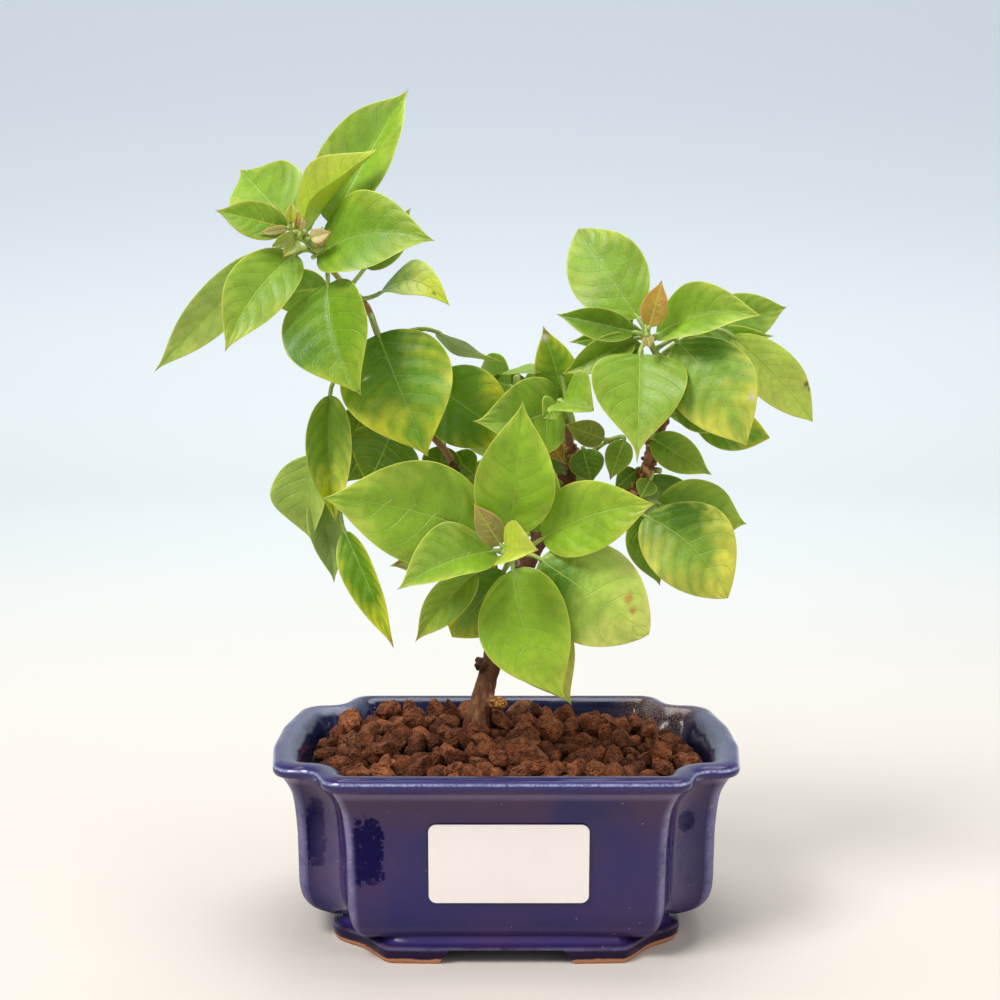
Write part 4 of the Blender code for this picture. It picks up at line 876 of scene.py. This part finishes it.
def blade_part(leaf):
    """Closed blade: points, quads, triangles, and notes by point: tint, vein place and flat place.

    The upper and lower faces share their margin and both ends, and the lower one bulges at the
    midrib. The faces of the upper side come first, and those of the lower side are as many."""
    rows, columns = next(size for least, size in BLADE_GRIDS if leaf.length > least)
    t = np.linspace(0, 1, rows + 2)[1:-1, None] * np.ones((1, columns))
    t = t - 0.045 * np.sin(2 * math.pi * t) / (2 * math.pi)
    q = np.sin(math.pi / 2 * np.linspace(-1, 1, columns))[None] * np.ones((rows, 1))
    middle, normal = leaf.surface(t, q), leaf.normals(t, q)
    half = leaf.half_width(t)
    side = half * q
    thick = BLADE_THICKNESS * np.sqrt(np.clip(1 - q ** 6, 0, 1)) * np.clip(16 * t * (1 - t), 0, 1)
    rib = RIB_BULGE * np.exp(-(side / 0.45) ** 2) * (1 - t) ** 0.6
    groove = GROOVE_DEPTH * np.exp(-(side / 0.4) ** 2) * (1 - t) ** 0.3 * (np.abs(q) < 0.999)
    upper = middle + normal * (thick / 2 - groove)[..., None]
    lower = middle - normal * (thick / 2 + rib)[..., None]
    count = rows * columns
    top = np.arange(count).reshape(rows, columns)
    under = top.copy()
    under[:, 1:-1] = count + 2 + np.arange(rows * (columns - 2)).reshape(rows, -1)
    start, end = np.full(columns - 1, count), np.full(columns - 1, count + 1)
    caps = [np.column_stack([start, grid[0, 1:], grid[0, :-1]]) for grid in (top, under)]
    tips = [np.column_stack([end, grid[-1, :-1], grid[-1, 1:]]) for grid in (top, under)]
    fours = np.vstack([quads(top), quads(under)[:, ::-1]])
    threes = np.vstack([caps[0], tips[0], caps[1][:, ::-1], tips[1][:, ::-1]])
    if np.cross(middle[1, 0] - middle[0, 0], middle[0, 1] - middle[0, 0]) @ leaf.out > 0:
        fours, threes = fours[:, ::-1], threes[:, ::-1]

    def by_point(above, below):
        """Values by point: the upper face, both ends, then the lower face between its margins."""
        inner = below[:, 1:-1].reshape(rows * (columns - 2), -1)
        return np.concatenate([above.reshape(count, -1), above[[0, -1], columns // 2], inner])

    points = by_point(upper, lower)
    points[count:count + 2] = leaf.base, leaf.tip
    tint = leaf.tints(t, q)
    ribs = (leaf.veins_passed(t, q), np.full(t.shape, leaf.length / VEINS), (1 - np.abs(q)) * half)
    places = np.stack([*ribs, t * leaf.length, side], -1)
    below = part_way(tint, linear(BACK_TINT), 0.5)
    notes = by_point(np.dstack([tint, places]), np.dstack([below, places]))
    return points, fours, threes, notes


def tinted_tube(path, radii, sides, tints):
    """Tube with a tint for each of its rings, and no veins."""
    points, fours, threes = tube(path, radii, sides)
    tints = np.broadcast_to(tints, (len(path), 3))
    tints = np.vstack([np.repeat(tints, sides, axis=0), tints[:1], tints[-1:]])
    return points, fours, threes, np.hstack([tints, np.zeros((len(points), 5))])


def stalk_part(leaf, lines):
    """Leaf stalk: a bent curve from the nearest place on the stems, short of each one's last
    stretch, to the blade's base, and on into the midrib."""
    aim = leaf.base - (leaf.tip - leaf.base) * 0.15
    starts = np.vstack([line[:-2, :3] for line in lines])
    span = np.vstack([line[1:-1, :3] for line in lines]) - starts
    share = np.clip(((aim - starts) * span).sum(1) / (span * span).sum(1), 0, 1)
    found = starts + span * share[:, None]
    origin = found[np.argmin(np.linalg.norm(found - aim, axis=1))]
    inner = leaf.surface(np.array([0.03, 0.06, 0.1]), np.zeros(3)) - leaf.out * 0.3
    control = leaf.base - unit(inner[2] - leaf.base) * np.linalg.norm(leaf.base - origin) * 0.45
    t = np.linspace(0, 1, 9)[:, None]
    curve = origin * (1 - t) ** 2 + control * 2 * t * (1 - t) + leaf.base * t ** 2
    path = np.vstack([curve, inner])
    tints = part_way(linear(GREEN_BARK), linear(STALK_TONE), np.linspace(0, 1, len(path))[:, None])
    return tinted_tube(path, STALK_RADIUS * np.interp(np.arange(len(path)), *STALK_TAPER), STALK_SIDES, tints)


def stem_part(rows, low_tone, flaking):
    """Stem tube: radius with fine ripples, coarse flakes up to the flaking share of its length, and
    a tint that turns green toward its high end."""
    line = smooth_rows(route(rows), 10)
    up = np.linspace(0, 1, len(line))[:, None]
    turn = np.linspace(0, 2 * math.pi, STEM_SIDES, endpoint=False)
    step = np.concatenate([[0], np.cumsum(np.linalg.norm(np.diff(line[:, :3], axis=0), axis=1))])
    where = np.stack(np.broadcast_arrays(step[:, None], 1.6 * np.cos(turn), 1.6 * np.sin(turn)), -1)
    flakes = np.clip((flaking - up) * 8, 0, 1)
    fine, coarse = hash_noise(where * (0.9, 1.0, 1.0), 41), hash_noise(where * (0.7, 1.2, 1.2), 42)
    tint = part_way(linear(low_tone), linear(GREEN_BARK), np.clip(up * 3.3 - 2.0, 0, 1))
    tint = part_way(tint, linear(RIPE_BARK), flakes)
    radii = line[:, 3:] * (1 + (0.05 * fine + 0.42 * flakes * coarse))
    return tinted_tube(line[:, :3], radii, STEM_SIDES, tint)


def flake_parts(line, top):
    """Crumbled bark: small bent flakes that stand off a stem up to the top share of its length."""
    drawn = np.random.default_rng(5)
    place = drawn.uniform(0, top, FLAKE_COUNT) * (len(line) - 1)
    step = place.astype(int)
    spots = part_way(line[step], line[step + 1], (place - step)[:, None])
    spokes = unit(drawn.normal(size=(FLAKE_COUNT, 3)))
    parts = []
    for spot, out in zip(spots, spokes):
        turn = unit(np.cross(out, drawn.normal(size=3)))
        size = drawn.uniform(0.8, 1.6)
        bend = FLAKE_BEND * size
        path = spot[:3] + out * spot[3] * 0.7 + bend[:, :1] * out + bend[:, 1:2] * turn
        shade = linear(FLAKE_TONES[int(drawn.integers(3))])
        parts.append(tinted_tube(path, bend[:, 2], FLAKE_SIDES, shade))
    return parts


def leaf_finish(name, vein_tone, margin_tone, roughness, vein_share, glow):
    """Leaf skin: the stored tint, pale midrib, side veins and margin, a fine net and a soft sheen,
    with light passing through the blade."""
    look, shader, _ = new_look(name, roughness)
    tint = on_mesh(look, "leaf_tint")
    passed, pitch, inward = split(on_mesh(look, "leaf_ribs", "Vector"))
    flat = source(look.node_tree, "UVMap", 0, uv_map="leaf_mm")
    ahead, across, _ = split(flat)
    midrib = fade(abs((across - 0.5) * UV_SPAN) + ahead * UV_SPAN * 0.006, 0.34, 0.14)
    off = abs(maths("FRACT", passed) - 0.5) * pitch + (grain(flat, 14, 2) - 0.5) * 0.5
    vein = fade(abs(off), 0.24, 0.05) * fade(inward, 0.5, 2.4)
    margin = fade(inward, 0.36, 0.12)
    cells = node("TexVoronoi", {"Vector": flat, "Scale": 40}, "Distance", feature="DISTANCE_TO_EDGE")
    net = fade(cells, 0.0, 0.12)
    mottle = grain(flat, 26, 4, 0.6)
    body = blend(fade(mottle, 0.3, 0.7), blend(0.16, tint, (0, 0, 0)), tint)
    for share in ((1.0 - net) * 0.1, vein * vein_share, midrib * 0.62):
        body = blend(share, body, vein_tone)
    body = blend(margin * 0.7, body, margin_tone)
    feed(shader, "Base Color", body)
    feed(shader, "Roughness", fade(mottle, 0.3, 0.7, roughness - 0.06, roughness + 0.08))
    relief(shader, net * 0.22 - maths("MAXIMUM", vein * 0.8, midrib), 0.00012, 0.9)
    through = node("BsdfTranslucent", {"Color": blend(0.45, body, (190, 214, 40))})
    mixed = node("MixShader", {0: glow, 1: Wire(shader.outputs[0]), 2: through})
    feed(look.node_tree.nodes["Material Output"], "Surface", mixed)
    return look


green_skins = [
    leaf_finish("green_leaf", (190, 210, 94), (220, 222, 100), 0.4, 0.26, 0.34),
    leaf_finish("green_leaf_underside", (196, 212, 124), (214, 216, 108), 0.6, 0.3, 0.34),
]
young_skins = [
    leaf_finish("young_leaf", (214, 206, 96), (212, 176, 96), 0.46, 0.38, 0.35),
    leaf_finish("young_leaf_underside", (214, 200, 110), (206, 190, 100), 0.6, 0.4, 0.35),
]
stem_skin, shader, place = new_look("stem_skin", 0.6)
tint = on_mesh(stem_skin, "leaf_tint")
streaks = grain(place, 1100, 4, 0.6)
feed(shader, "Base Color", blend(fade(streaks, 0.35, 0.7), blend(0.3, tint, (0, 0, 0)), tint))
relief(shader, streaks, 0.00025, 0.9)


def leafy_piece(name, cad_node, skins, low_tone, stems, leaves, marks=(), flaking=0.0):
    """One piece of stems, stalks and blades. marks are (leaf number, t, q, radius, tone)."""
    lines = [smooth_rows(route(stem), 2) for stem in stems]
    woody = [stem_part(stem, low_tone, flaking) for stem in stems]
    if flaking > 0:
        woody.extend(flake_parts(smooth_rows(route(stems[0]), 10), flaking))
    blades = []
    for number, row in enumerate(leaves):
        own_marks = [mark[1:] for mark in marks if mark[0] == number]
        leaf = Leaf(row, 1.3 * number, number + len(name), own_marks)
        blades.append(blade_part(leaf))
        woody.append(stalk_part(leaf, lines))
    points, *faces = gather(blades + woody)
    face_looks = []
    for kind in (1, 2):
        face_looks.extend(np.repeat([0, 1], len(part[kind]) // 2) for part in blades)
        face_looks.extend(np.full(len(part[kind]), 2) for part in woody)
    piece = make_piece(name, points, faces, [*skins, stem_skin], np.concatenate(face_looks))
    tints, ribs, places = np.split(np.vstack([part[3] for part in blades + woody]), (3, 6), axis=1)
    store_colour(piece, "leaf_tint", tints)
    stored = piece.data.attributes.new("leaf_ribs", "FLOAT_VECTOR", "POINT")
    stored.data.foreach_set("vector", ribs.astype(np.float32).ravel())
    places = (places / UV_SPAN + (0, 0.5)).astype(np.float32)[corner_points(piece)]
    piece.data.uv_layers.new(name="leaf_mm").uv.foreach_set("vector", places.ravel())
    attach(piece, "root")
    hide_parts(cad_node)


# The left branch's stem and leaves, then its growing tip with bud scales and unfolding leaflets
LEFT_STEMS = [
    [(-49, 39, 7, 1.05), (-56, 51, 7, 1), (-85, 85, 6, 0.95), (-102, 120, 5, 0.95), (-122, 165, 4, 0.9),
     (-134, 195, 3, 0.85), (-155, 215, 2, 0.8), (-175, 238, 1, 0.7), (-186, 253, 0, 0.7)],
    [(-88, 90, 6, 0.8), (-124, 64, 5.5, 0.75), (-150, 48, 6, 0.7), (-162, 10, 8, 0.6), (-157, -28, 8, 0.5)],
]
LEFT_LEAVES = [
    ("fresh", -169, 275, 0, -91, 412, 15, 23.5, -25, 35, 0.04),
    ("fresh", -212, 279, 3, -261, 332, 26, 23, 0, 8, 0.05, 0, -0.7),
    ("lime", -193, 270, 1, -121, 353, -7, 20, -60, 50, 0.03),
    ("green", -183, 245, -6, -65, 259, -20, 22, -25, 15, 0.05, -0.1, 0.1),
    ("fresh", -204, 246, -6, -275, 148, -19, 16.5, 10, 14, 0.05, 0.07, 0.2),
    ("pale", -232, 247, 3, -346, 128, 18, 12.5, 0, 12, 0.04),
    ("deep", -172, 213, 8, -238, 204, 18, 12, 0, 10, 0.03),
    ("deep", -135, 232, 5, -89, 292, 16, 11, 0, 12, 0.03),
    ("under", -120, 207, -1, -50, 194, -6, 15, -52, 10, 0.3, 0, 0.4),
    ("green", -172, 216, -7, -138, 104, -19, 26.5, 19, 26, 0.04, 0.07, 0.1),
    ("turning", -122, 166, -3, -72, 42, -13, 29.5, 0, 8, 0.06, 0, 0.1),
    ("under", -63, 168, 3, 4, 137, 9, 14, 76, 6, 0.04),
    ("turning", -70, 118, 3, 20, 55, 2, 22, 0, 10, 0.05),
    ("deep", -134, 90, 9, -150, 60, 10, 10, 0, 10, 0.02),
    ("ripe", -170, 105, 3, -164, -24, 1, 18, 0, 48, 0.05, 0.03),
    ("pale", -185, 45, 10, -189, -40, 14, 22, 37, 37, 0.04, 0, 0.3),
    ("under", -185, 1, 14, -166, -83, 12, 12, 0, 38, 0.03, -0.05),
    ("turning", -155, -32, 6, -106, -149, -6, 12.5, 20, 40, 0.03, -0.02),
    ("deep", -128, 60, 11, -155, 17, 13, 12, 0, 10, 0.03),
    ("deep", -108, 68, 3, -134, 13, -2, 20, -10, 14, 0.05),
    ("deep", -56, 54, 10, -62, 15, 11, 11, 0, 15, 0.03),
    ("deep", -48, 45, 12, -24, 24, 15, 9.5, 0, 15, 0.03),
    ("green", -105, 120, 10, -95, 92, 38, 20, 0, 10, 0.12),
    ("green", -90, 90, 12, -70, 70, 36, 18, 20, 10, 0.1),
    ("green", -160, 210, 8, -170, 170, 30, 16, 0, 10, 0.1),
]
# Marks on the leaves: spots, and painted light and painted shade on some blades
LEFT_MARKS = (
    (8, 0.9, 0, 13, VIVID), (8, 0.8, 0.3, 0.8, DARK), (11, 0.9, -0.2, 10, PAINTED_LIGHT), (9, 0.5, 0.8, 9, SHADE),
    (2, 0.45, 0.7, 9, PAINTED_LIGHT), (10, 0.15, 0, 10, SHADE), (14, 0.8, 0.5, 6, PAINTED_LIGHT), (9, 0.985, 0, 1.6, BROWN),
    (14, 0.99, 0, 2.2, BROWN), (17, 0.98, 0, 3, ORANGE), (10, 0.3, 0.5, 0.5, WHITE),
    (10, 0.42, 0.55, 0.4, WHITE), (10, 0.38, 0.3, 0.4, WHITE),
)
leafy_piece("leaves_left", "leafy_stem_left", green_skins, YOUNG_BARK,
            LEFT_STEMS, LEFT_LEAVES, LEFT_MARKS)
LEFT_TIP_STEMS = [
    [(-188, 254, -1.2, 0.65), (-192, 257, -5, 0.6), (-198, 264, -9, 0.45)],
    [(-172, 236, 1, 1), (-184, 251, -1, 1.5), (-191, 259, -4.5, 1.4), (-197, 266, -8.5, 0.9)],
]
LEFT_TIP_LEAVES = [
    ("green", -212, 272, -10, -285, 290, -9, 10, 0, 20, 0.05),
    ("pale", -203, 262, -11, -217, 242, -13, 4.5, 0, 30, 0.05),
    ("bud", -190, 262, -11, -168, 268, -13, 4, 0, 20, 0.05),
]
LEFT_BUDS = [
    ("lime", -210, 276, -11, -208, 297, -12, 3.6, 10, 30, 0.08, 0, 0.6),
    ("rust", -203, 270, -11, -202, 288, -12, 2, 0, 30, 0.1, 0, 0.3),
    ("bud", -200, 268, -12, -197, 284, -13, 1.7, 30, 30, 0.1, 0.05, 0.3),
    ("bud", -212, 272, -11, -241, 266, -12, 2.6, -20, 20, 0.08, 0.05),
    ("pale", -206, 268, -12, -228, 253, -13, 3.6, -30, 34, 0.1, 0.1, 0.4),
    ("bud", -182, 252, -9, -189, 272, -10, 2.4, 0, 30, 0.12, 0.06, 0.3),
    ("bud", -180, 252, -9, -178, 274, -11, 1.9, 20, 30, 0.1, 0, 0.2),
    ("rust", -177, 253, -9, -169, 271, -11, 2.2, -20, 30, 0.12, -0.06, 0.2),
]
leafy_piece("shoot_left", "young_shoot_left", young_skins, GREEN_BARK,
            LEFT_TIP_STEMS, LEFT_TIP_LEAVES + LEFT_BUDS)

# The short front branch's leaves and tip
FRONT_STEMS = [[(16, -63, -5.4, 1.15), (13, -57, -13, 1), (9, -53, -19.5, 0.85)]]
FRONT_LEAVES = [
    ("fresh", -12, -37, -19, -179, 2, -26, 26.5, 0, 8, 0.05, 0.05, 0.1),
    ("bright", 10, -34, -18, 23, 100, -25, 21, 0, 15, 0.04),
    ("fresh", -6, -51, -21, -103, -90, -34, 19, 30, 30, 0.04, 0.05),
    ("bright", 42, -39, -17, 156, -4, -26, 18.5, 0, 10, 0.05, -0.07, 0.2),
    ("faded_and_lit", 40, -59, -18, 149, -134, -24, 26.5, 0, -12, 0.07, 0, 0.9),
    ("bright", 13, -69, -20, 65, -200, -28, 23.4, 0, 8, 0.05, 0.08, 0.1),
    ("lime", 5, -90, -15, 72, -206, -15, 20, 0, 8, 0.03),
    ("fresh", -24, -72, -19, -85, -142, -18, 12, 0, 35, 0.05, 0.03),
    ("turning", 4, -71, -16, -48, -137, -14, 18, 0, 12, 0.04, 0, 0.7),
    ("deep", 28, -32, -13, 48, 48, -9, 13, 0, 10, 0.03),
    ("green", -30, -50, -13, -111, -66, -11, 10, 0, 15, 0.03),
]
# Marks on the leaves: spots, and painted shade and a painted glow on some blades
FRONT_MARKS = (
    (4, 0.72, -0.45, 1.5, ORANGE), (4, 0.8, -0.3, 1.2, ORANGE), (5, 0.5, 0.2, 0.35, DARK),
    (5, 0.62, -0.3, 0.35, DARK), (10, 0.96, 0, 4, BROWN), (7, 0.98, 0, 2.6, ORANGE),
    (6, 0.45, -0.7, 8, PAINTED_GLOW), (6, 0.8, -0.5, 8, PAINTED_GLOW), (4, 0.2, 0.2, 9, SHADE),
)
leafy_piece("leaves_front", "leafy_stem_front", green_skins, YOUNG_BARK,
            FRONT_STEMS, FRONT_LEAVES, FRONT_MARKS)
FRONT_TIP_STEM = [[(8.6, -52.6, -20.2, 0.8), (7, -51, -22.5, 0.7), (4, -50, -24.5, 0.5)]]
FRONT_TIP_LEAVES = [
    ("blush", 1, -45, -24, -27, -3, -25, 7.2, 0, 15, 0.05),
    ("lime", 5, -53, -27, 39, -50, -36, 16, -30, 36, 0.06, 0, -0.2),
]
leafy_piece("shoot_front", "young_shoot_front", young_skins, GREEN_BARK,
            FRONT_TIP_STEM, FRONT_TIP_LEAVES)

# The leader's leaves, on its stem and a side twig, and the tip of each
MIDDLE_STEMS = [
    [(71, 38.5, 14, 1.4), (70, 53, 13, 1.2), (67, 75, 11, 1), (62, 95, 8, 0.8)],
    [(70, 47, 13.2, 0.85), (90, 48, 11.5, 0.7), (103, 56, 9, 0.6)],
]
MIDDLE_LEAVES = [
    ("fresh", 60, 97, 8, -28, 79, -10, 21, 8, 12, 0.04, -0.09, -0.2),
    ("turning", 65, 99, 11, 43, 175, 8, 12, 0, 15, 0.04),
    ("green", 48, 130, 10, -2, 125, 12, 7, 70, 10, 0.03),
    ("deep", 83, 51, 10, 92, 16, 9, 10, 0, 15, 0.03),
    ("ripe", 45, 66, 8, 65, 36, 6, 6, 0, 15, 0.05),
    ("deep", 63, 72, 12, 40, 68, 11, 5, 0, 15, 0.05),
]
MIDDLE_MARKS = ((1, 0.97, 0, 3, BROWN), (1, 0.85, -0.3, 1.4, WHITE), (4, 0.6, 0, 4, ORANGE))
leafy_piece("leaves_middle", "leafy_stem_middle", green_skins, RIPE_BARK,
            MIDDLE_STEMS, MIDDLE_LEAVES, MIDDLE_MARKS, flaking=0.3)
MIDDLE_TIP_STEM = [[(61.2, 97.5, 7, 0.7), (61, 99, 4, 0.6), (61, 99, 1, 0.45)]]
MIDDLE_TIP_LEAVES = [
    ("fresh", 62, 98, -2, 94, 89, -10, 19, -34, 36, 0.05, 0, 0.3),
    ("fresh", 58, 96, -1, 42, 80, -4, 8.5, 0, 20, 0.05, 0, -0.5),
]
leafy_piece("shoot_middle", "young_shoot_middle", green_skins, GREEN_BARK,
            MIDDLE_TIP_STEM, MIDDLE_TIP_LEAVES)
TWIG_TIP_STEM = [[(104.5, 56.8, 8.4, 0.6), (107, 58.5, 7, 0.55), (110, 60, 6, 0.4)]]
TWIG_TIP_LEAVES = [
    ("olive", 104, 61, 5, 64, 76, 3, 7.5, 0, 15, 0.05),
    ("green", 124, 60, 5, 110, 20, 2, 7.5, 0, 10, 0.05),
]
leafy_piece("shoot_twig", "young_shoot_twig", young_skins, GREEN_BARK,
            TWIG_TIP_STEM, TWIG_TIP_LEAVES)

# The right branch's stem, whose lower half has ripened to flaking bark, its leaves and its tip
RIGHT_STEMS = [
    [(133, 2.5, 8.2, 1.5), (137, 7, 7.5, 1.5), (142, 20, 7, 1.5), (148, 35, 6, 1.5), (154, 53, 5, 1.4),
     (163, 77, 4, 1.2), (170, 98, 3, 1.1), (168, 125, 2, 1), (153, 152, 1, 0.9), (148, 166, 0, 0.75)],
    [(146, 30, 6.3, 0.9), (155, 30, 5.6, 0.85), (161, 29, 5, 0.8)],
]
RIGHT_LEAVES = [
    ("fresh", 138, 182, 0, 78, 271, 14, 21, 0, 10, 0.05, 0, 0.8),
    ("deep", 135, 168, -1, 56, 186, 4, 11, 0, 40, 0.04),
    ("green", 132, 175, 5, 78, 210, 6, 8, 0, 15, 0.03),
    ("fresh", 156, 165, -2, 262, 184, -14, 17.6, -30, 30, 0.05, -0.09, 0.2),
    ("green", 195, 170, 3, 287, 193, 16, 14, 0, 8, 0.04, 0, 0.2),
    ("green", 200, 164, 6, 274, 164, 8, 6, 0, 8, 0.03),
    ("ripe", 178, 158, -5, 247, 53, -17, 22.5, 0, -10, 0.07, -0.05, 0.4),
    ("sunlit", 232, 164, 1, 313, 78, 11, 14, 0, 10, 0.05, -0.03, 0.5),
    ("fresh", 140, 146, -4, 137, 35, -16, 25, 0, 12, 0.05, 0, -1),
    ("green", 152, 62, -2, 212, 25, -5, 10, 0, 10, 0.04),
    ("deep", 176, 106, 0, 233, 68, 0, 12, 0, 10, 0.03),
    ("turning", 195, 80, 3, 270, 62, 3, 12, 0, 10, 0.03, 0, 0.6),
    ("green", 142, 155, 1, 112, 138, 1, 7, 0, 15, 0.03),
    ("fresh", 135, 161, 1, 61, 125, 1, 11.5, 0, 40, 0.03),
    ("deep", 132, 165, 9, 69, 158, 10, 6, 0, 15, 0.03),
    ("ripe", 145, -16, 2, 228, -98, -5, 24, 0, 8, 0.07, -0.1, 0.8),
    ("green", 157, -3, 4, 247, -24, 18, 18, 0, 8, 0.05),
    ("deep", 140, -15, 6, 160, -86, 7, 12, 0, 10, 0.03),
    ("deep", 136, 30, 9, 114, 10, 7, 6, 0, 10, 0.03),
    ("deep", 150, 20, 4, 140, 2, 2, 6, 0, 10, 0.03),
    ("green", 168, 85, 8, 190, 100, 36, 18, 0, 10, 0.12),
    ("green", 160, 130, 7, 142, 100, 34, 18, 0, 10, 0.12),
    ("green", 150, 25, 10, 170, -10, 34, 18, 10, 10, 0.1),
]
RIGHT_MARKS = (
    (6, 0.7, -0.78, 1.3, WHITE), (7, 0.69, -0.88, 1.2, BROWN), (7, 0.74, -0.95, 0.8, DARK),
    (15, 0.55, 0.3, 0.5, DARK), (15, 0.4, -0.4, 0.4, DARK), (8, 0.45, -0.3, 0.4, WHITE),
    (6, 0.2, -0.5, 7, SHADE), (15, 0.25, -0.5, 8, SHADE),
)
leafy_piece("leaves_right", "leafy_stem_right", green_skins, RIPE_BARK,
            RIGHT_STEMS, RIGHT_LEAVES, RIGHT_MARKS, flaking=0.55)
RIGHT_TIP_STEM = [[(148, 169, -1, 0.65), (148, 172, -4, 0.6), (148, 173, -7, 0.45)]]
RIGHT_TIP_LEAVES = [
    ("rust", 149, 173, -8, 162, 220, -8, 7, 0, 12, 0.05),
    ("blush", 147, 164, -8, 150, 152, -10, 3.5, 0, 15, 0.05),
]
leafy_piece("shoot_right", "young_shoot_right", young_skins, GREEN_BARK,
            RIGHT_TIP_STEM, RIGHT_TIP_LEAVES)

# The back branch's leaves, which the leaves in front of them hide
BACK_STEMS = [[(25.5, 43, 25.2, 1.15), (22, 84, 27.5, 1), (16, 124, 28.6, 0.85)]]
BACK_LEAVES = [
    ("green", 18, 42, 27, -24, -18, 52, 20, 0, 10, 0.1),
    ("deep", 30, 50, 28, 85, 0, 48, 20, 0, 10, 0.1),
    ("green", 30, 34, 26, 35, -40, 46, 22, 0, 10, 0.08),
    ("fresh", 15, 84, 29, -48, 66, 45, 18, 0, 10, 0.08),
    ("green", 27, 82, 29, 76, 60, 46, 17, 0, 10, 0.08),
    ("green", 11, 114, 30, -24, 124, 48, 16, 0, 10, 0.08),
    ("fresh", 22, 116, 30, 54, 112, 49, 15, 0, 10, 0.08),
    ("deep", 16.5, 128, 31, 10, 98, 56, 17, 6, 10, 0.1),
]
leafy_piece("leaves_back", "leafy_stem_back", green_skins, YOUNG_BARK, BACK_STEMS, BACK_LEAVES)

# The label: a blank white paper sticker with rounded corners, pressed on the front panel, its face
# a little uneven.
LABEL_SIZE = np.array([40.0, 20.6])
LABEL_CORNER = 2.0
LABEL_CENTRE = (0.8, 26.6)
# How far its back and its face stand off the panel, which leans by an inset at each of two heights
LABEL_BACK, LABEL_FACE = 0.36, 0.62
PANEL_HEIGHTS, PANEL_INSETS = (18.0, 37.0), (6.1, 5.06)
# Its rings, from face to back: share of its size, and share of the way from back to face
LABEL_RINGS = ((0.985, 1), (0.997, 1), (1.0, 0.5), (1.0, 0))

paper, shader, place = new_look("white_label", 0.5)
fibres = grain(place, 2200, 5, 0.7)
body = blend(fibres, (238, 228, 224), (247, 240, 236))
body = blend(fade(grain(place, 60, 2), 0.5, 0.8) * 0.3, body, (230, 218, 214))
feed(shader, "Base Color", body)
feed(shader, "Coat Weight", 0.15)
relief(shader, fibres, 0.00003, 0.6)

# Each point is a corner's centre moved by its radius along turn, and straight sides join the arcs
turn = np.linspace(0, 2 * math.pi, 96, endpoint=False) + 0.001
ways = np.column_stack([np.cos(turn), np.sin(turn)])
corners = np.sign(ways) * (LABEL_SIZE / 2 - LABEL_CORNER) * np.minimum(1, np.abs(ways) * 40)
plan = corners + LABEL_CORNER * ways
slope = (PANEL_INSETS[1] - PANEL_INSETS[0]) / (PANEL_HEIGHTS[1] - PANEL_HEIGHTS[0])
rings = []
for share, front in LABEL_RINGS:
    x, height = (plan * share + LABEL_CENTRE).T
    panel = POT_CENTRE[1] - PANEL_FRONT + PANEL_INSETS[0] + slope * (height - PANEL_HEIGHTS[0])
    rings.append(np.column_stack([x, panel - part_way(LABEL_BACK, LABEL_FACE, front), height]))
label = loft("blank_label", rings, [paper])
label.data.set_sharp_from_angle(angle=math.radians(40))
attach(label, "root")
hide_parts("label")

# Studio: a plain pale floor, soft even light from above, and the camera at the photograph's angle.
# Its sizes are metres. The floor runs from FLOOR_NEAR back to FLOOR_BEND and turns up to a wall.
FLOOR_WIDTH, FLOOR_NEAR, FLOOR_BEND = 4.8, -1.6, 1.0
BEND_RADIUS, WALL_TOP = 1.2, (2.2, 2.6)
# Each lamp's place, size and power
LAMPS = (((-0.55, -0.5, 1.0), 0.45, 13.5), ((0.85, -0.45, 0.8), 0.8, 4.5), ((0.1, 0.35, 1.2), 0.8, 10.0))
LAMP_AIM = (0, 0, 0.1)
LENS, SENSOR = 54.72, 36.0

floor_look, shader, place = new_look("floor", 0.9, 0.1)
_, depth, height = split(place)
away = depth + height
body = blend(fade(away, -0.1, 0.9), (199, 192, 183), (212, 219, 220))
body = blend(fade(away, 1.0, 2.6), body, (187, 196, 204))
feed(shader, "Base Color", body)
# Painted light: the floor glows more toward and up the wall, brightening the backdrop
feed(shader, "Emission Color", body)
feed(shader, "Emission Strength", fade(away, 0.3, 1.9, 0.0, 0.62))
turn = np.linspace(0, math.pi / 2, 24)
bend = (FLOOR_BEND, BEND_RADIUS) + BEND_RADIUS * np.column_stack([np.sin(turn), -np.cos(turn)])
sweep = np.vstack([np.linspace((FLOOR_NEAR, 0.0), (FLOOR_BEND - 0.05, 0.0), 20), bend, WALL_TOP])
across, row = np.meshgrid(np.linspace(-FLOOR_WIDTH / 2, FLOOR_WIDTH / 2, 7), np.arange(len(sweep)))
grid = np.dstack([across, sweep[row]]).reshape(-1, 3)
index = np.arange(len(grid)).reshape(row.shape)
floor = make_piece("floor", grid * 1000 + BASE_CENTRE, [quads(index)], [floor_look])

world = bpy.data.worlds.new("studio")
world.use_nodes = True
background = world.node_tree.nodes["Background"]
feed(background, "Color", (0.97, 0.98, 1.0, 1.0))
feed(background, "Strength", 0.42)
bpy.context.scene.world = world
for number, (spot, size, power) in enumerate(LAMPS):
    lamp = bpy.data.lights.new("lamp_%d" % number, "AREA")
    lamp.shape = "SQUARE"
    lamp.size = size
    lamp.energy = power
    held = bpy.data.objects.new(lamp.name, lamp)
    bpy.context.scene.collection.objects.link(held)
    aim = np.array(spot) - LAMP_AIM
    held.location = spot
    tilt = math.atan2(math.hypot(aim[0], aim[1]), aim[2])
    held.rotation_euler = (tilt, 0, math.atan2(aim[1], aim[0]) + math.pi / 2)

camera = bpy.data.objects.new("camera", bpy.data.cameras.new("camera"))
bpy.context.scene.collection.objects.link(camera)
camera.data.lens = LENS
camera.data.sensor_width = SENSOR
camera.location = ((EYE - BASE_CENTRE) * 0.001).tolist()
camera.rotation_euler = (math.pi / 2 - EYE_TILT, 0, 0)
bpy.context.scene.camera = camera
bpy.context.scene.view_settings.view_transform = "Standard"
